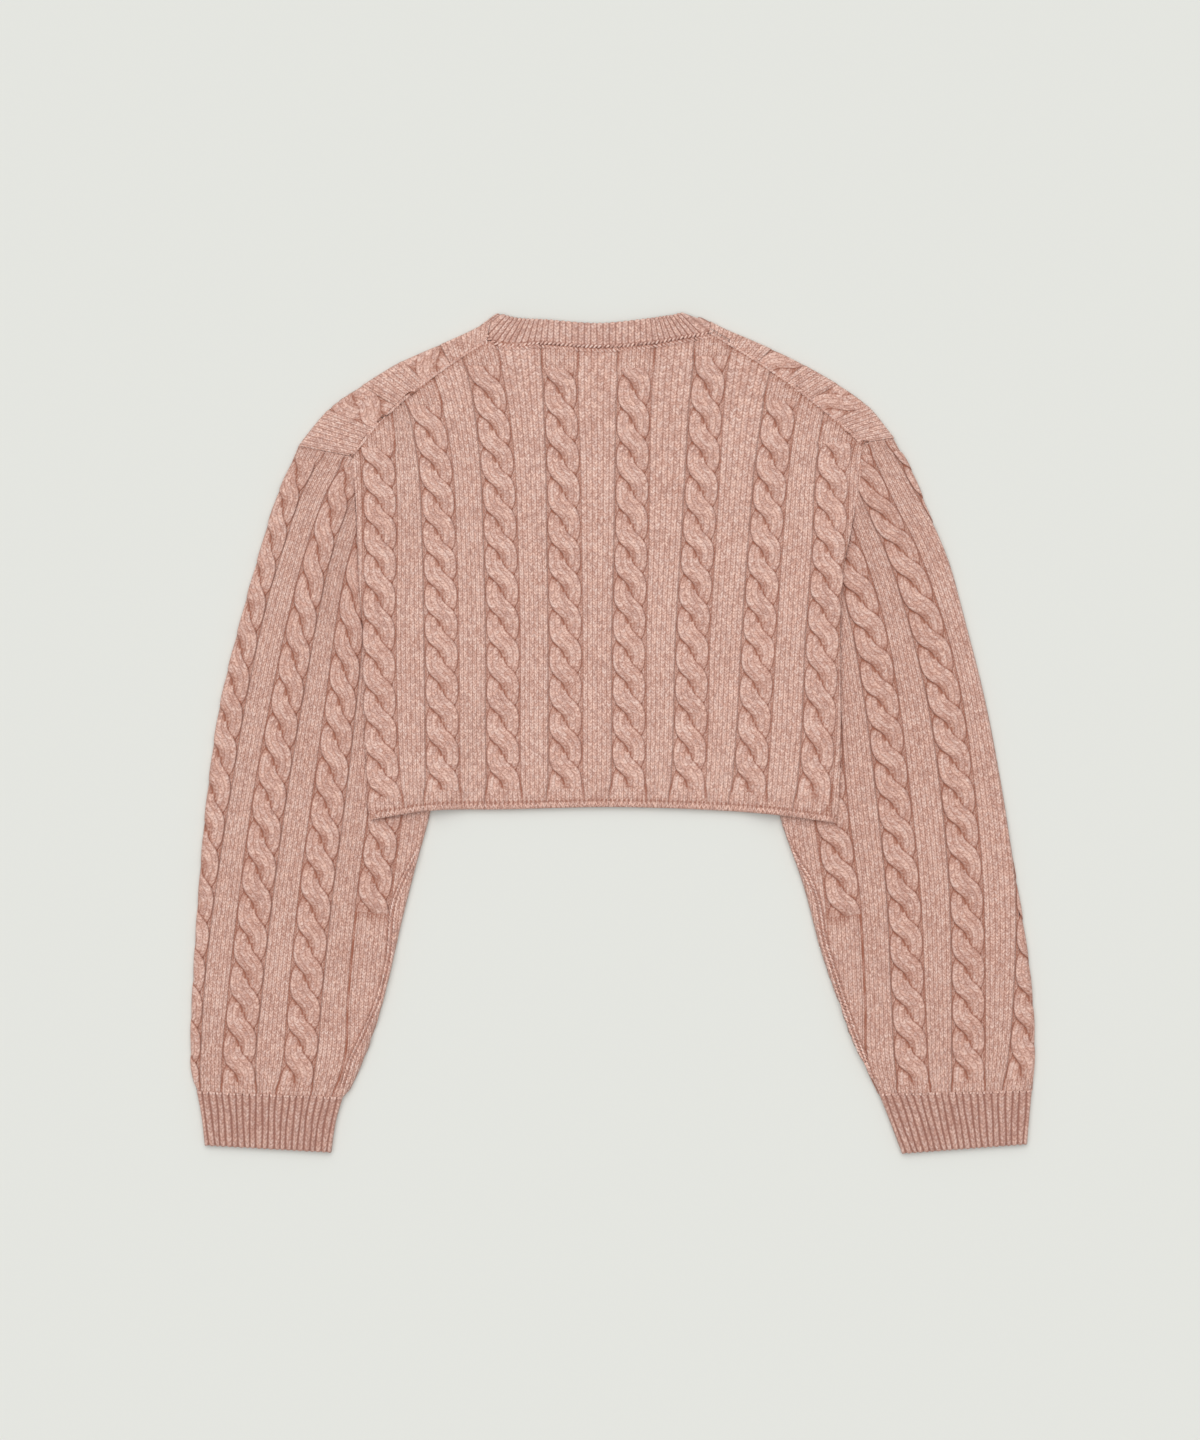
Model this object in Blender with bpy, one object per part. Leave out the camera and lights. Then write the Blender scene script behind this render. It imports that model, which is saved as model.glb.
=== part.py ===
"""Cropped cable-knit sweater, lying flat with its back up.

Sizes are in millimetres, +X to the wearer's right, +Y to the neck, +Z up from the surface.
The front panel lies face down at the bottom, the back panel on it, and the sleeves are folded
down and in, so that the body lies over their inner halves. Every piece is a closed wall of cloth.
"""

import math
from collections import namedtuple

import bmesh
import bpy
import numpy as np

MM = 0.001

# Cloth and how it is stacked
WALL = 2.5                      # plain knit, as in the gutters beside the cables
LAYER_GAP = 0.5                 # air between two layers that lie on each other
SEAM_GAP = 0.3                  # between two pieces sewn edge to edge
LAYER_STEP = WALL + LAYER_GAP   # from the underside of one layer to the underside of the next
FOLD_HEIGHT = 2 * WALL + LAYER_GAP
SLEEVE_STACK = FOLD_HEIGHT + 2 * LAYER_GAP
FOLD_ROUND = ((1.0, 2.05), (3.2, 2.75))   # a folded edge: distance in from it, half its height there
CUT_BELOW = -5.0                # how far outline cutters reach under and over the cloth
CUT_ABOVE = 30.0

# Knit relief
RIB_RISE = 1.0                  # plain ribs between the cables
RIB_BEVEL = 3.0                 # from a gutter's bottom to the top of a rib
CABLE_HALF = 12.5               # half the width of a cable of six stitches
UNCROSSED_RISE = 2.2            # a cable's two strands side by side
ROWS_PER_CROSSING = 3
HEM_BAND = 9.0                  # plain edge along the hem

# One cable across its width: place from side to side, how far its rows lead, and its height
# at the groove between two crossings and on the strand between two grooves
CableColumn = namedtuple("CableColumn", "across lead groove crest")
CABLE_PROFILE = (
    CableColumn(-1.00, 0.00, 0.0, 0.0),
    CableColumn(-0.55, 0.30, 1.2, 3.0),
    CableColumn(0.00, 0.00, 0.6, 3.5),
    CableColumn(0.55, -0.30, 1.2, 3.0),
    CableColumn(1.00, 0.00, 0.0, 0.0),
)

# Body
BODY_CROSSING_PITCH = 27.8
BODY_FIRST_GROOVE = -42.0       # the lowest crossing of the body's cables
BODY_CROSSINGS = 13
UNCROSSED_AT_SEAM = 32.0        # cable left uncrossed under the shoulder and neck seams
HEM_LEVEL = -64.0
HEM_DROOP_FROM = 80.0           # knit rows start to follow the hem's curve below this level

# Where each of the back's eight cables runs, at these levels from the neck to the hem
BACK_LEVELS = (334, 283, 232, 164, 79, -6, -66)
BACK_CABLES = (
    (-210, -204, -199, -197, -198, -196, -192),
    (-181, -161, -151, -147, -145, -144, -144),
    (-115, -104, -98, -95, -93, -93, -92),
    (-45, -44, -42, -41, -40, -40, -40),
    (21, 18, 17, 16, 14, 14, 13),
    (86, 80, 77, 73, 68, 66, 63),
    (158, 144, 136, 130, 124, 119, 114),
    (210, 198, 188, 184, 178, 174, 168),
)
BACK_MARGIN = 16.0              # cloth beyond the outline, before it is cut

# Straight stretches that each part of an outline is cut with
SIDE_STEPS = 11
HEM_STEPS = 11

# Outline of the body: x, y
SIDE_LEFT = ((-221, 235), (-217, 181), (-215, 130), (-210, 71), (-209, -6), (-205, -57), (-201, -73))
SIDE_RIGHT = ((211, 246), (211, 224), (203, 175), (195, 136), (193, 79), (193, -6), (190, -57), (187, -76))
HEM = ((-201, -73), (-155, -66), (-96, -65), (6, -63), (74, -65), (134, -69), (187, -76))
FOLD_LEFT = ((-113, 345), (-147, 329), (-181, 314), (-215, 293), (-238, 277), (-257, 256), (-266, 244))
FOLD_RIGHT = ((90, 345.5), (121, 332), (153, 317), (193, 294.5), (217, 277), (238.5, 251))
SHOULDER_LEFT = ((-106, 333), (-136, 314), (-172, 287), (-198, 263), (-221, 235))
SHOULDER_RIGHT = ((84, 339), (125, 314), (159, 290), (189, 266), (211, 246))

# How far the hidden part of each folded sleeve reaches in under the body: level, x
REACH_LEFT = ((235, -217), (181, -215), (160, -212), (126, -191), (79, -163), (28, -136), (-20, -146),
              (-68, -156), (-112, -168))
REACH_RIGHT = ((246, 210), (175, 200), (157, 194), (122, 178), (71, 151), (18, 123), (-26, 132),
               (-70, 142), (-133, 164))
REACH_PLATEAU = 4.0             # the body stays at full height this far past the sleeve
REACH_RAMP = 32.0               # and comes down over this distance
LIFT_FULL = 166.0               # the body starts to climb over the sleeve above this level
LIFT_NONE = 196.0
PLAIN_LEVELS = (360, 205, 196, 186, 176, 166, 146, 121, 86, 24, -14, -52, -90)
PLAIN_OUTER = 290.0
PLAIN_STEPS = (-14, 4, 13, 24, 36)

# Neckband, from the left fold over the back and round by the front: seam x, y and edge x, y
NeckRow = namedtuple("NeckRow", "seam_x seam_y edge_x edge_y")
NECK_BACK = (
    NeckRow(-113, 345, -97, 357),
    NeckRow(-106, 333, -88, 354),
    NeckRow(-57, 329, -55, 351),
    NeckRow(-11, 326, -11, 348),
    NeckRow(32, 329, 30, 352),
    NeckRow(66, 335, 51, 355),
    NeckRow(84, 339, 63, 356.5),
    NeckRow(90, 345, 73, 354),
)
NECK_FRONT = (
    NeckRow(90, 345, 73, 354),
    NeckRow(78, 306, 58, 316),
    NeckRow(42, 272, 31, 291),
    NeckRow(-12, 259, -12, 281),
    NeckRow(-66, 272, -55, 291),
    NeckRow(-101, 306, -82, 316),
    NeckRow(-113, 345, -97, 357),
)
NECK_RIB_RISE = 0.9
NECK_RIB_COUNT = 40
NECK_FRONT_SECTIONS = 18
NECK_FOLD_ROOM = (2, 5)         # sections left out beside the left and the right fold
NECK_EDGE_ROUND = 0.92          # where the band's free edge starts to round over
NECK_RING = ((0.0, 0.5), (NECK_EDGE_ROUND, 0.5), (1.0, 0.0), (NECK_EDGE_ROUND, -0.5), (0.0, -0.5))
FOLD_TURNS = (60.0, 0.0, -60.0)

# Shoulder strips: the front's top edge, folded over onto the back. Where the features stand
# along the shoulder, from the neck (0) to the armhole (1), and their height
StripColumn = namedtuple("StripColumn", "along rise")
STRIP_LEFT = (
    StripColumn(0.00, 0.0), StripColumn(0.03, 1.0), StripColumn(0.19, 1.0), StripColumn(0.22, 0.0),
    StripColumn(0.26, 2.6), StripColumn(0.31, 3.0), StripColumn(0.36, 2.6), StripColumn(0.41, 0.0),
    StripColumn(0.44, 1.0), StripColumn(0.57, 1.0), StripColumn(0.60, 0.0), StripColumn(0.65, 2.6),
    StripColumn(0.71, 3.0), StripColumn(0.77, 2.6), StripColumn(0.82, 0.0), StripColumn(0.85, 1.0),
    StripColumn(1.00, 1.0),
)
STRIP_RIGHT = (
    StripColumn(0.00, 0.0), StripColumn(0.03, 1.0), StripColumn(0.26, 1.0), StripColumn(0.29, 0.0),
    StripColumn(0.33, 2.6), StripColumn(0.39, 3.0), StripColumn(0.45, 2.6), StripColumn(0.49, 0.0),
    StripColumn(0.52, 1.0), StripColumn(0.59, 1.0), StripColumn(0.62, 0.0), StripColumn(0.67, 2.6),
    StripColumn(0.73, 3.0), StripColumn(0.79, 2.6), StripColumn(0.84, 0.0), StripColumn(0.87, 1.0),
    StripColumn(1.00, 1.0),
)
StripPlace = namedtuple("StripPlace", "across height groove")
STRIP_ACROSS = (
    StripPlace(0.42, 1.0, False), StripPlace(0.58, 1.0, True), StripPlace(0.80, 1.0, False),
    StripPlace(1.00, 0.5, False),
)
STRIP_GROOVE = 0.3              # what is left of a cable's height at the crossing in the strip
STRIP_LEG = 10.0                # how far the fold's lower leg runs into the front panel
STRIP_LEG_SKIN = 0.3            # and how much thinner it is there than the panel, on each side
STRIP_END = 0.8                 # clearance of a strip to the neckband
STRIP_LEG_CLEAR = 4.0           # and how much further off it stays at the bottom
STRIP_OUTER_KEYS = (0.0, 0.30, 0.45, 0.54, 0.60, 0.72, 0.80, 0.90, 1.0)
STRIP_INNER_KEYS = (0.0, 0.34, 0.45, 0.56, 1.0)
FRONT_FOLD_INSET = 5.0

# Sleeve rows, wrist to armhole: crossings counted from the wrist, level of the row at the second
# cable from the outer edge, its slope, and where the four cables stand, outer edge first
SleeveRow = namedtuple("SleeveRow", "crossing level slope outer second third inner")
SLEEVE_LEFT_ROWS = (
    SleeveRow(-0.8, -305, -0.03, -365, -317, -271, -223),
    SleeveRow(0.0, -282, 0.00, -364, -317, -266, -215),
    SleeveRow(2.0, -224, -0.05, -361, -312, -261, -211),
    SleeveRow(5.0, -136, -0.07, -351, -302, -252, -203),
    SleeveRow(8.0, -44, -0.14, -336, -289, -240, -192),
    SleeveRow(11.0, 45, -0.20, -319, -273, -229, -186),
    SleeveRow(13.0, 105, -0.27, -304, -261, -222, -182),
    SleeveRow(14.5, 150, -0.25, -290, -250, -214, -176),
    SleeveRow(16.0, 196, -0.20, -275, -234, -198, -159),
    SleeveRow(17.5, 235, -0.20, -255, -213, -176, -138),
)
SLEEVE_RIGHT_ROWS = (
    SleeveRow(-0.8, -303, 0.03, 345, 302, 256, 212),
    SleeveRow(0.0, -278, 0.10, 350, 302, 254, 204),
    SleeveRow(2.0, -220, 0.10, 355, 302, 251, 201),
    SleeveRow(5.0, -132, 0.13, 356, 300, 247, 196),
    SleeveRow(8.0, -42, 0.17, 346, 292, 238, 185),
    SleeveRow(11.0, 47, 0.22, 329, 278, 227, 178),
    SleeveRow(13.0, 107, 0.27, 312, 262, 216, 172),
    SleeveRow(14.5, 153, 0.28, 293, 246, 203, 162),
    SleeveRow(16.0, 193, 0.22, 271, 227, 187, 147),
    SleeveRow(17.5, 236, 0.15, 248, 208, 170, 132),
)
SLEEVE_TOP = 19.0               # rows run on past the armhole and are cut there
INNER_CABLE_ENDS = 4.0          # below this crossing the inner cable is knitted plain
INNER_CABLE_FADE = 1.5
UNDER_BODY_CLEAR = 3.5          # the sleeve is plain this close to the body that lies on it
UNDER_BODY_FADE = 7.0           # and its relief dies out over this distance
FOLD_FADE = 4.0                 # and this near to the sleeve's folds
LEAD_FADE = 8.0                 # rows of a cable lead less again over this distance from there
LEAST_COLUMN = 0.8
INNER_RING_STEP = 2.5           # crossings between two sections of the sleeve's plain inside
WRIST_ROWS = (-0.8, -0.74, -0.4)          # the last rows before the cuff
SLEEVE_EVEN_ROWS = 0.7          # the cables' last rows at each end lie straight
LEVEL_ROUNDS = 12               # rounds that settle where a slanting row meets a fold

# Block that cuts the sleeve's end: its far sides, and how it runs round the shoulder strip's end
ARMHOLE_OUT = 300.0
ARMHOLE_UP = 330.0
ARMHOLE_DROP = 4.0
ARMHOLE_CORNER = 1.3
ARMHOLE_LEFT_TO = 162.0         # level down to which it follows the body's side
ARMHOLE_RIGHT_TO = 160.0
ARMHOLE_STEPS = 7

# Sleeve outlines from the armhole to the wrist: level, x
SLEEVE_LEFT_OUTER = ((300, -247), (244, -266), (205, -283), (147, -301), (89, -317), (28, -332), (-48, -343),
                     (-125, -350), (-201, -355), (-261, -357.5), (-286, -357), (-306, -353))
SLEEVE_LEFT_INNER = ((300, -75), (150, -104), (80, -121), (28, -136), (-68, -155), (-112, -167), (-159, -179),
                     (-223, -194), (-269, -208), (-290, -217), (-312, -227.5))
SLEEVE_RIGHT_OUTER = ((300, 214), (251, 238), (225, 252.5), (190, 267), (154, 282), (88, 301), (28, 316),
                      (-44, 329.5), (-108, 340), (-163, 348.5), (-214, 355), (-265, 358), (-286, 357.5),
                      (-306, 356))
SLEEVE_RIGHT_INNER = ((300, 50), (150, 92), (80, 108), (18, 123), (-70, 142), (-133, 163.5), (-184, 177),
                      (-231, 193), (-262, 204), (-290, 218), (-312, 228.5))

# Hidden end of each sleeve under the body, from where it leaves the armhole to the underarm
HIDDEN_ARMHOLE_LEFT = ((-216, 160), (-195, 126), (-167, 79), (-139, 28), (-60, 28))
HIDDEN_ARMHOLE_RIGHT = ((197, 157), (182, 122), (155, 71), (127, 18), (50, 18))

# Cuffs: level of the seam and of the end at the low-x and the high-x side, and those sides
CuffRow = namedtuple("CuffRow", "low_x low_y high_x high_y")
CUFF_LEFT = (
    CuffRow(-353, -304, -229, -309),
    CuffRow(-353, -305.5, -229, -310.5),
    CuffRow(-349, -325, -235, -330),
    CuffRow(-346, -348.5, -239, -354.5),
    CuffRow(-346, -350, -239, -356),
)
CUFF_RIGHT = (
    CuffRow(226, -306, 356, -303),
    CuffRow(227, -307.5, 356, -304.5),
    CuffRow(235, -328, 354, -324),
    CuffRow(246, -355.5, 352, -347.5),
    CuffRow(246, -357, 352, -349),
)
HOLLOW_KEYS = (0.0, 0.06, 0.25, 0.44, 0.5, 0.56, 0.75, 0.94, 1.0)     # places round a tube's inside
CUFF_RIB_COUNT = 22
CUFF_RIB_RISE = 1.0

# Colour of the heathered wool, as each piece's plain finish
WOOL = (0.62, 0.37, 0.31)
RIB_WOOL = (0.60, 0.35, 0.30)


def clear_scene():
    for thing in list(bpy.data.objects):
        bpy.data.objects.remove(thing, do_unlink=True)


def smooth_step(value):
    value = min(max(value, 0.0), 1.0)
    return value * value * (3.0 - 2.0 * value)


def through(keys, values):
    """Smooth curve through the values, as a function of the key, straight past its ends."""
    order = np.argsort(keys)
    keys = np.asarray(keys, float)[order]
    values = np.asarray(values, float)[order]
    slopes = np.gradient(values, keys, axis=0)

    def at(key):
        if key <= keys[0]:
            return values[0] + slopes[0] * (key - keys[0])
        if key >= keys[-1]:
            return values[-1] + slopes[-1] * (key - keys[-1])
        i = int(np.searchsorted(keys, key)) - 1
        span = keys[i + 1] - keys[i]
        t = (key - keys[i]) / span
        start = values[i] * (1 + 2 * t) * (1 - t) ** 2 + slopes[i] * span * t * (1 - t) ** 2
        end = values[i + 1] * t * t * (3 - 2 * t) - slopes[i + 1] * span * t * t * (1 - t)
        return start + end

    return at


def along(points):
    """Smooth curve through 2-D points, as a function of the share of its length."""
    points = np.asarray(points, float)
    steps = np.linalg.norm(np.diff(points, axis=0), axis=1)
    length = np.concatenate(([0.0], np.cumsum(steps)))
    return through(length / length[-1], points)


def traced(points, count):
    """The curve through the points as count short straight stretches."""
    curve = along(points)
    return [curve(i / count) for i in range(count + 1)]


# Plain curves that several pieces share
side_left = through([y for x, y in SIDE_LEFT], [x for x, y in SIDE_LEFT])
side_right = through([y for x, y in SIDE_RIGHT], [x for x, y in SIDE_RIGHT])
hem_level = through([x for x, y in HEM], [y for x, y in HEM])
reach_left = through([y for y, x in REACH_LEFT], [x for y, x in REACH_LEFT])
reach_right = through([y for y, x in REACH_RIGHT], [x for y, x in REACH_RIGHT])


def lift(x, y):
    """How far the body stands up at a point to pass over the folded sleeves."""
    clear = min(x - reach_left(y), reach_right(y) - x)
    over = 1.0 - smooth_step((clear - REACH_PLATEAU) / REACH_RAMP)
    return SLEEVE_STACK * over * smooth_step((LIFT_NONE - y) / (LIFT_NONE - LIFT_FULL))


class Wall:
    """Points and faces of one closed wall of cloth, in millimetres."""

    def __init__(self):
        self.points = []
        self.faces = []

    def grid(self, rows):
        """Adds rows of points and returns their numbers, row by row."""
        numbers = []
        for row in rows:
            first = len(self.points)
            self.points.extend(row)
            numbers.append(list(range(first, len(self.points))))
        return numbers

    def skin(self, numbers, closed=False):
        """Triangles over a grid of numbered points; closed joins each row's end to its start."""
        for lower, upper in zip(numbers, numbers[1:]):
            count = len(lower)
            for i in range(count if closed else count - 1):
                j = (i + 1) % count
                self.faces.append((lower[i], lower[j], upper[j]))
                self.faces.append((lower[i], upper[j], upper[i]))

    def zip(self, first, first_keys, second, second_keys):
        """Triangles between two lines of points, matched by their keys, which grow along both."""
        i = 0
        j = 0
        while i < len(first) - 1 or j < len(second) - 1:
            step_first = j == len(second) - 1
            if i < len(first) - 1 and j < len(second) - 1:
                step_first = first_keys[i + 1] <= second_keys[j + 1]
            if step_first:
                self.faces.append((first[i], first[i + 1], second[j]))
                i += 1
            else:
                self.faces.append((first[i], second[j + 1], second[j]))
                j += 1

    def mesh(self, name):
        """The wall as a Blender mesh in metres, its faces pointing out."""
        mesh = bpy.data.meshes.new(name)
        points = [tuple(float(value) * MM for value in point) for point in self.points]
        mesh.from_pydata(points, [], self.faces)
        work = bmesh.new()
        work.from_mesh(mesh)
        bmesh.ops.recalc_face_normals(work, faces=work.faces)
        work.to_mesh(mesh)
        work.free()
        mesh.validate()
        return mesh


def wool(name, colour):
    material = bpy.data.materials.new(name)
    material.use_nodes = True
    shader = material.node_tree.nodes["Principled BSDF"]
    shader.inputs["Base Color"].default_value = (*colour, 1.0)
    shader.inputs["Roughness"].default_value = 0.92
    shader.inputs["Metallic"].default_value = 0.0
    return material


def put(name, mesh, colour):
    """Places a finished mesh in the scene as a piece of the garment, with its own material."""
    piece = bpy.data.objects.new(name, mesh)
    bpy.context.scene.collection.objects.link(piece)
    mesh.materials.append(wool(name + "_wool", colour))
    mesh.shade_smooth()
    mesh.set_sharp_from_angle(angle=math.radians(50))
    return piece


def helper(name, mesh):
    """A shape that only serves a Boolean, left out of the garment."""
    tool = bpy.data.objects.new(name, mesh)
    bpy.context.scene.collection.objects.link(tool)
    tool.hide_render = True
    tool.display_type = "WIRE"
    return tool


def combine(piece, tool, operation):
    modifier = piece.modifiers.new(tool.name, "BOOLEAN")
    modifier.operation = operation
    modifier.solver = "EXACT"
    modifier.object = tool


def prism(outline):
    """Upright block with the given outline, tall enough to cut through all layers."""
    wall = Wall()
    low = wall.grid([[(x, y, CUT_BELOW) for x, y in outline]])[0]
    high = wall.grid([[(x, y, CUT_ABOVE) for x, y in outline]])[0]
    wall.skin([low, high], closed=True)
    wall.faces.append(tuple(low))
    wall.faces.append(tuple(high))
    return wall


def inset(outline, distance):
    """A closed outline moved in by a distance, whichever way round it runs."""
    points = np.asarray(outline, float)
    following = np.roll(points, -1, axis=0)
    area = np.sum(points[:, 0] * following[:, 1] - following[:, 0] * points[:, 1])
    tangent = following - np.roll(points, 1, axis=0)
    tangent /= np.linalg.norm(tangent, axis=1)[:, None]
    inward = np.stack((-tangent[:, 1], tangent[:, 0]), axis=1)
    return points + inward * distance * (1.0 if area > 0 else -1.0)


# Relief of one cable, shared by the back and the sleeves

def groove_share(row, last_crossing):
    """How strongly a row takes part in the crossings: 1 below the last one, fading out past it."""
    return 1.0 - smooth_step((row - last_crossing) * ROWS_PER_CROSSING / 2.0)


def cable_rise(column, row, crossed):
    """Height of a cable's column above the plain cloth at a row."""
    if abs(column.across) == 1.0:
        return 0.0
    at_groove = abs(row - round(row)) < 0.01
    knitted = column.groove if at_groove and crossed > 0.9 else column.crest
    return knitted * crossed + UNCROSSED_RISE * (1.0 - crossed)


# Plain layers of the body, front and back on the same grid, so that they stay a gap apart

def plain_grid(level):
    rows = []
    for y in PLAIN_LEVELS:
        left = [reach_left(y) + step for step in PLAIN_STEPS]
        right = [reach_right(y) - step for step in reversed(PLAIN_STEPS)]
        places = [-PLAIN_OUTER, *left, (left[-1] + right[0]) / 2, *right, PLAIN_OUTER]
        rows.append([(x, y, level + lift(x, y)) for x in places])
    return rows


def close_rim(wall, first, second):
    """Joins the four borders of two grids of points that lie over each other."""
    def place(number, axis):
        return wall.points[number][axis]

    borders = (
        (lambda grid: grid[0], 0, 1), (lambda grid: grid[-1], 0, 1),
        (lambda grid: [row[0] for row in grid], 1, -1), (lambda grid: [row[-1] for row in grid], 1, -1),
    )
    for border, axis, direction in borders:
        above = border(first)
        below = border(second)
        keys = []
        for line in (above, below):
            start = place(line[0], axis)
            end = place(line[-1], axis)
            keys.append([(place(number, axis) - start) / (end - start) for number in line])
        wall.zip(above, keys[0], below, keys[1])


# Back panel

def back_seam(x):
    """Level of the neck and shoulder seams that bound the back panel."""
    line = [*SHOULDER_LEFT[::-1], *[(row.seam_x, row.seam_y) for row in NECK_BACK[2:6]], *SHOULDER_RIGHT]
    return float(np.interp(x, [point[0] for point in line], [point[1] for point in line]))


def back_rows():
    """Knit rows of the back from the hem up, as crossings and levels."""
    rows = [(-2.0, HEM_LEVEL - 8.0), (-1.0, HEM_LEVEL + HEM_BAND)]
    for row in range(BODY_CROSSINGS * ROWS_PER_CROSSING):
        crossing = row / ROWS_PER_CROSSING
        rows.append((crossing, BODY_FIRST_GROOVE + crossing * BODY_CROSSING_PITCH))
    top = rows[-1][1]
    rows.extend((BODY_CROSSINGS + 1.0, top + rise) for rise in (14.0, 44.0))
    return rows


def back_point(x, level, rise):
    """A point of the back's outer side; rows near the hem follow the hem's curve."""
    droop = (hem_level(min(max(x, -215), 205)) - HEM_LEVEL)
    y = level + droop * smooth_step((HEM_DROOP_FROM - level) / (HEM_DROOP_FROM - HEM_LEVEL))
    return (x, y, LAYER_STEP + WALL + lift(x, y) + rise)


def back_panel_mesh():
    paths = [through(BACK_LEVELS, cable) for cable in BACK_CABLES]
    rows = []
    for crossing, level in back_rows():
        in_band = crossing < 0.0
        row = [back_point(side_left(level) - BACK_MARGIN, level, RIB_RISE)]
        for path in paths:
            centre = path(level)
            seam = back_seam(centre)
            last = math.floor((seam - UNCROSSED_AT_SEAM - BODY_FIRST_GROOVE) / BODY_CROSSING_PITCH)
            crossed = 0.0 if in_band else groove_share(crossing, last)
            row.append(back_point(centre - CABLE_HALF - RIB_BEVEL, level, RIB_RISE))
            for column in CABLE_PROFILE:
                lead = column.lead * BODY_CROSSING_PITCH * crossed
                rise = RIB_RISE if in_band else cable_rise(column, crossing, crossed)
                row.append(back_point(centre + column.across * CABLE_HALF, level + lead, rise))
            row.append(back_point(centre + CABLE_HALF + RIB_BEVEL, level, RIB_RISE))
        row.append(back_point(side_right(level) + BACK_MARGIN, level, RIB_RISE))
        rows.append(row)
    wall = Wall()
    outer = wall.grid(reversed(rows))
    inner = wall.grid(plain_grid(LAYER_STEP))
    wall.skin(outer)
    wall.skin(inner)
    close_rim(wall, outer, inner)
    return wall.mesh("back_panel")


def strip_seam(seam, columns):
    """The shoulder seam, with a point for each column of the strip sewn there."""
    curve = along(seam)
    return [curve(column.along) for column in columns]


def back_outline():
    """Neck, right shoulder, right side, hem, left side, left shoulder, in one closed line."""
    start = np.array(SHOULDER_LEFT[0])
    end = np.array(SHOULDER_RIGHT[0])
    neck = [(row.seam_x, row.seam_y) for row in neck_sections(NECK_BACK, NECK_RIB_COUNT * 2)]
    line = [start, *[point for point in neck[::2] if start[0] + 1.0 < point[0] < end[0] - 1.0], end]
    line += strip_seam(SHOULDER_RIGHT, STRIP_RIGHT)[1:]
    line += [(side_right(y), y) for y in np.linspace(SIDE_RIGHT[0][1], SIDE_RIGHT[-1][1], SIDE_STEPS)[1:]]
    line += traced(HEM, HEM_STEPS)[::-1][1:]
    line += [(side_left(y), y) for y in np.linspace(SIDE_LEFT[-1][1], SIDE_LEFT[0][1], SIDE_STEPS)[1:]]
    line += strip_seam(SHOULDER_LEFT, STRIP_LEFT)[::-1][1:-1]
    return line


def make_back_panel():
    piece = put("back_panel", back_panel_mesh(), WOOL)
    cutter = helper("back_outline", prism(inset(back_outline(), SEAM_GAP)).mesh("back_outline"))
    combine(piece, cutter, "INTERSECT")


# Front panel

def front_outline():
    """The front's lower layer: inside the shoulder folds, along the armhole ends, sides and hem."""
    neck = neck_sections(NECK_FRONT, NECK_FRONT_SECTIONS)[1:-1]
    line = [(row.seam_x, row.seam_y) for row in neck][::-1]
    line += fold_inset(FOLD_RIGHT, SIDE_RIGHT[0], 1.0)
    line += [(side_right(y), y) for y in np.linspace(SIDE_RIGHT[0][1], SIDE_RIGHT[-1][1], SIDE_STEPS)]
    line += traced(HEM, HEM_STEPS)[::-1][1:]
    line += [(side_left(y), y) for y in np.linspace(SIDE_LEFT[-1][1], SIDE_LEFT[0][1], SIDE_STEPS)[1:]]
    line += fold_inset(FOLD_LEFT, SIDE_LEFT[0], -1.0)[::-1]
    return line


def fold_inset(fold, armhole, side):
    """Line beside a shoulder's fold, on the cloth, from the neck to the armhole seam."""
    points = traced(fold, SIDE_STEPS - 1)
    line = []
    for before, point, after in zip(points, points[1:], points[2:]):
        tangent = (after - before) / np.linalg.norm(after - before)
        line.append(point + np.array((-tangent[1], tangent[0])) * -side * FRONT_FOLD_INSET)
    seam = np.array(armhole) - points[-1]
    line.append(points[-1] + seam / np.linalg.norm(seam) * FRONT_FOLD_INSET)
    return line


def strip_wall(fold, seam, columns):
    """A shoulder strip: the front's edge turned over the fold and laid on the back's side."""
    fold_curve = along(fold)
    seam_curve = along(seam)
    lower = STRIP_LEG_SKIN
    middle = FOLD_HEIGHT / 2
    upper = FOLD_HEIGHT
    away = fold_curve(0.02) - fold_curve(0.0)
    away /= np.linalg.norm(away)
    sections = []
    for number, column in enumerate(columns):
        start = fold_curve(column.along)
        end = seam_curve(column.along)
        width = np.linalg.norm(end - start)
        inward = (end - start) / width
        ahead = fold_curve(column.along + 0.01) - start
        square = np.array((-ahead[1], ahead[0])) / np.linalg.norm(ahead)
        square *= np.sign(square @ inward)
        crossed = STRIP_GROOVE if column.rise > RIB_RISE else 1.0
        outer = [(STRIP_LEG, lower), (FOLD_ROUND[1][0], lower), (0.0, middle)]
        outer += [(FOLD_ROUND[0][0], middle + FOLD_ROUND[0][1]), (FOLD_ROUND[1][0], upper + column.rise / 2)]
        for place in STRIP_ACROSS:
            left = crossed if place.groove else 1.0
            outer.append((width * place.across, upper + column.rise * place.height * left))
        inner = (
            (width, LAYER_STEP), (2 * WALL, LAYER_STEP), (WALL, middle),
            (2 * WALL, WALL - lower), (STRIP_LEG, WALL - lower),
        )
        section = []
        for reach, z in (*outer, *inner):
            shift = 0.0
            if number == 0:
                shift = STRIP_END + STRIP_LEG_CLEAR * (1.0 - z / upper)
            direction = square if z < middle and number < len(columns) - 1 else inward
            section.append((*(start + direction * reach + away * shift), z))
        sections.append(section)
    wall = Wall()
    rings = wall.grid(sections)
    wall.skin(rings, closed=True)
    for ring in (rings[0], rings[-1]):
        wall.zip(ring[:9], STRIP_OUTER_KEYS, ring[9:][::-1], STRIP_INNER_KEYS)
    return wall


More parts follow.
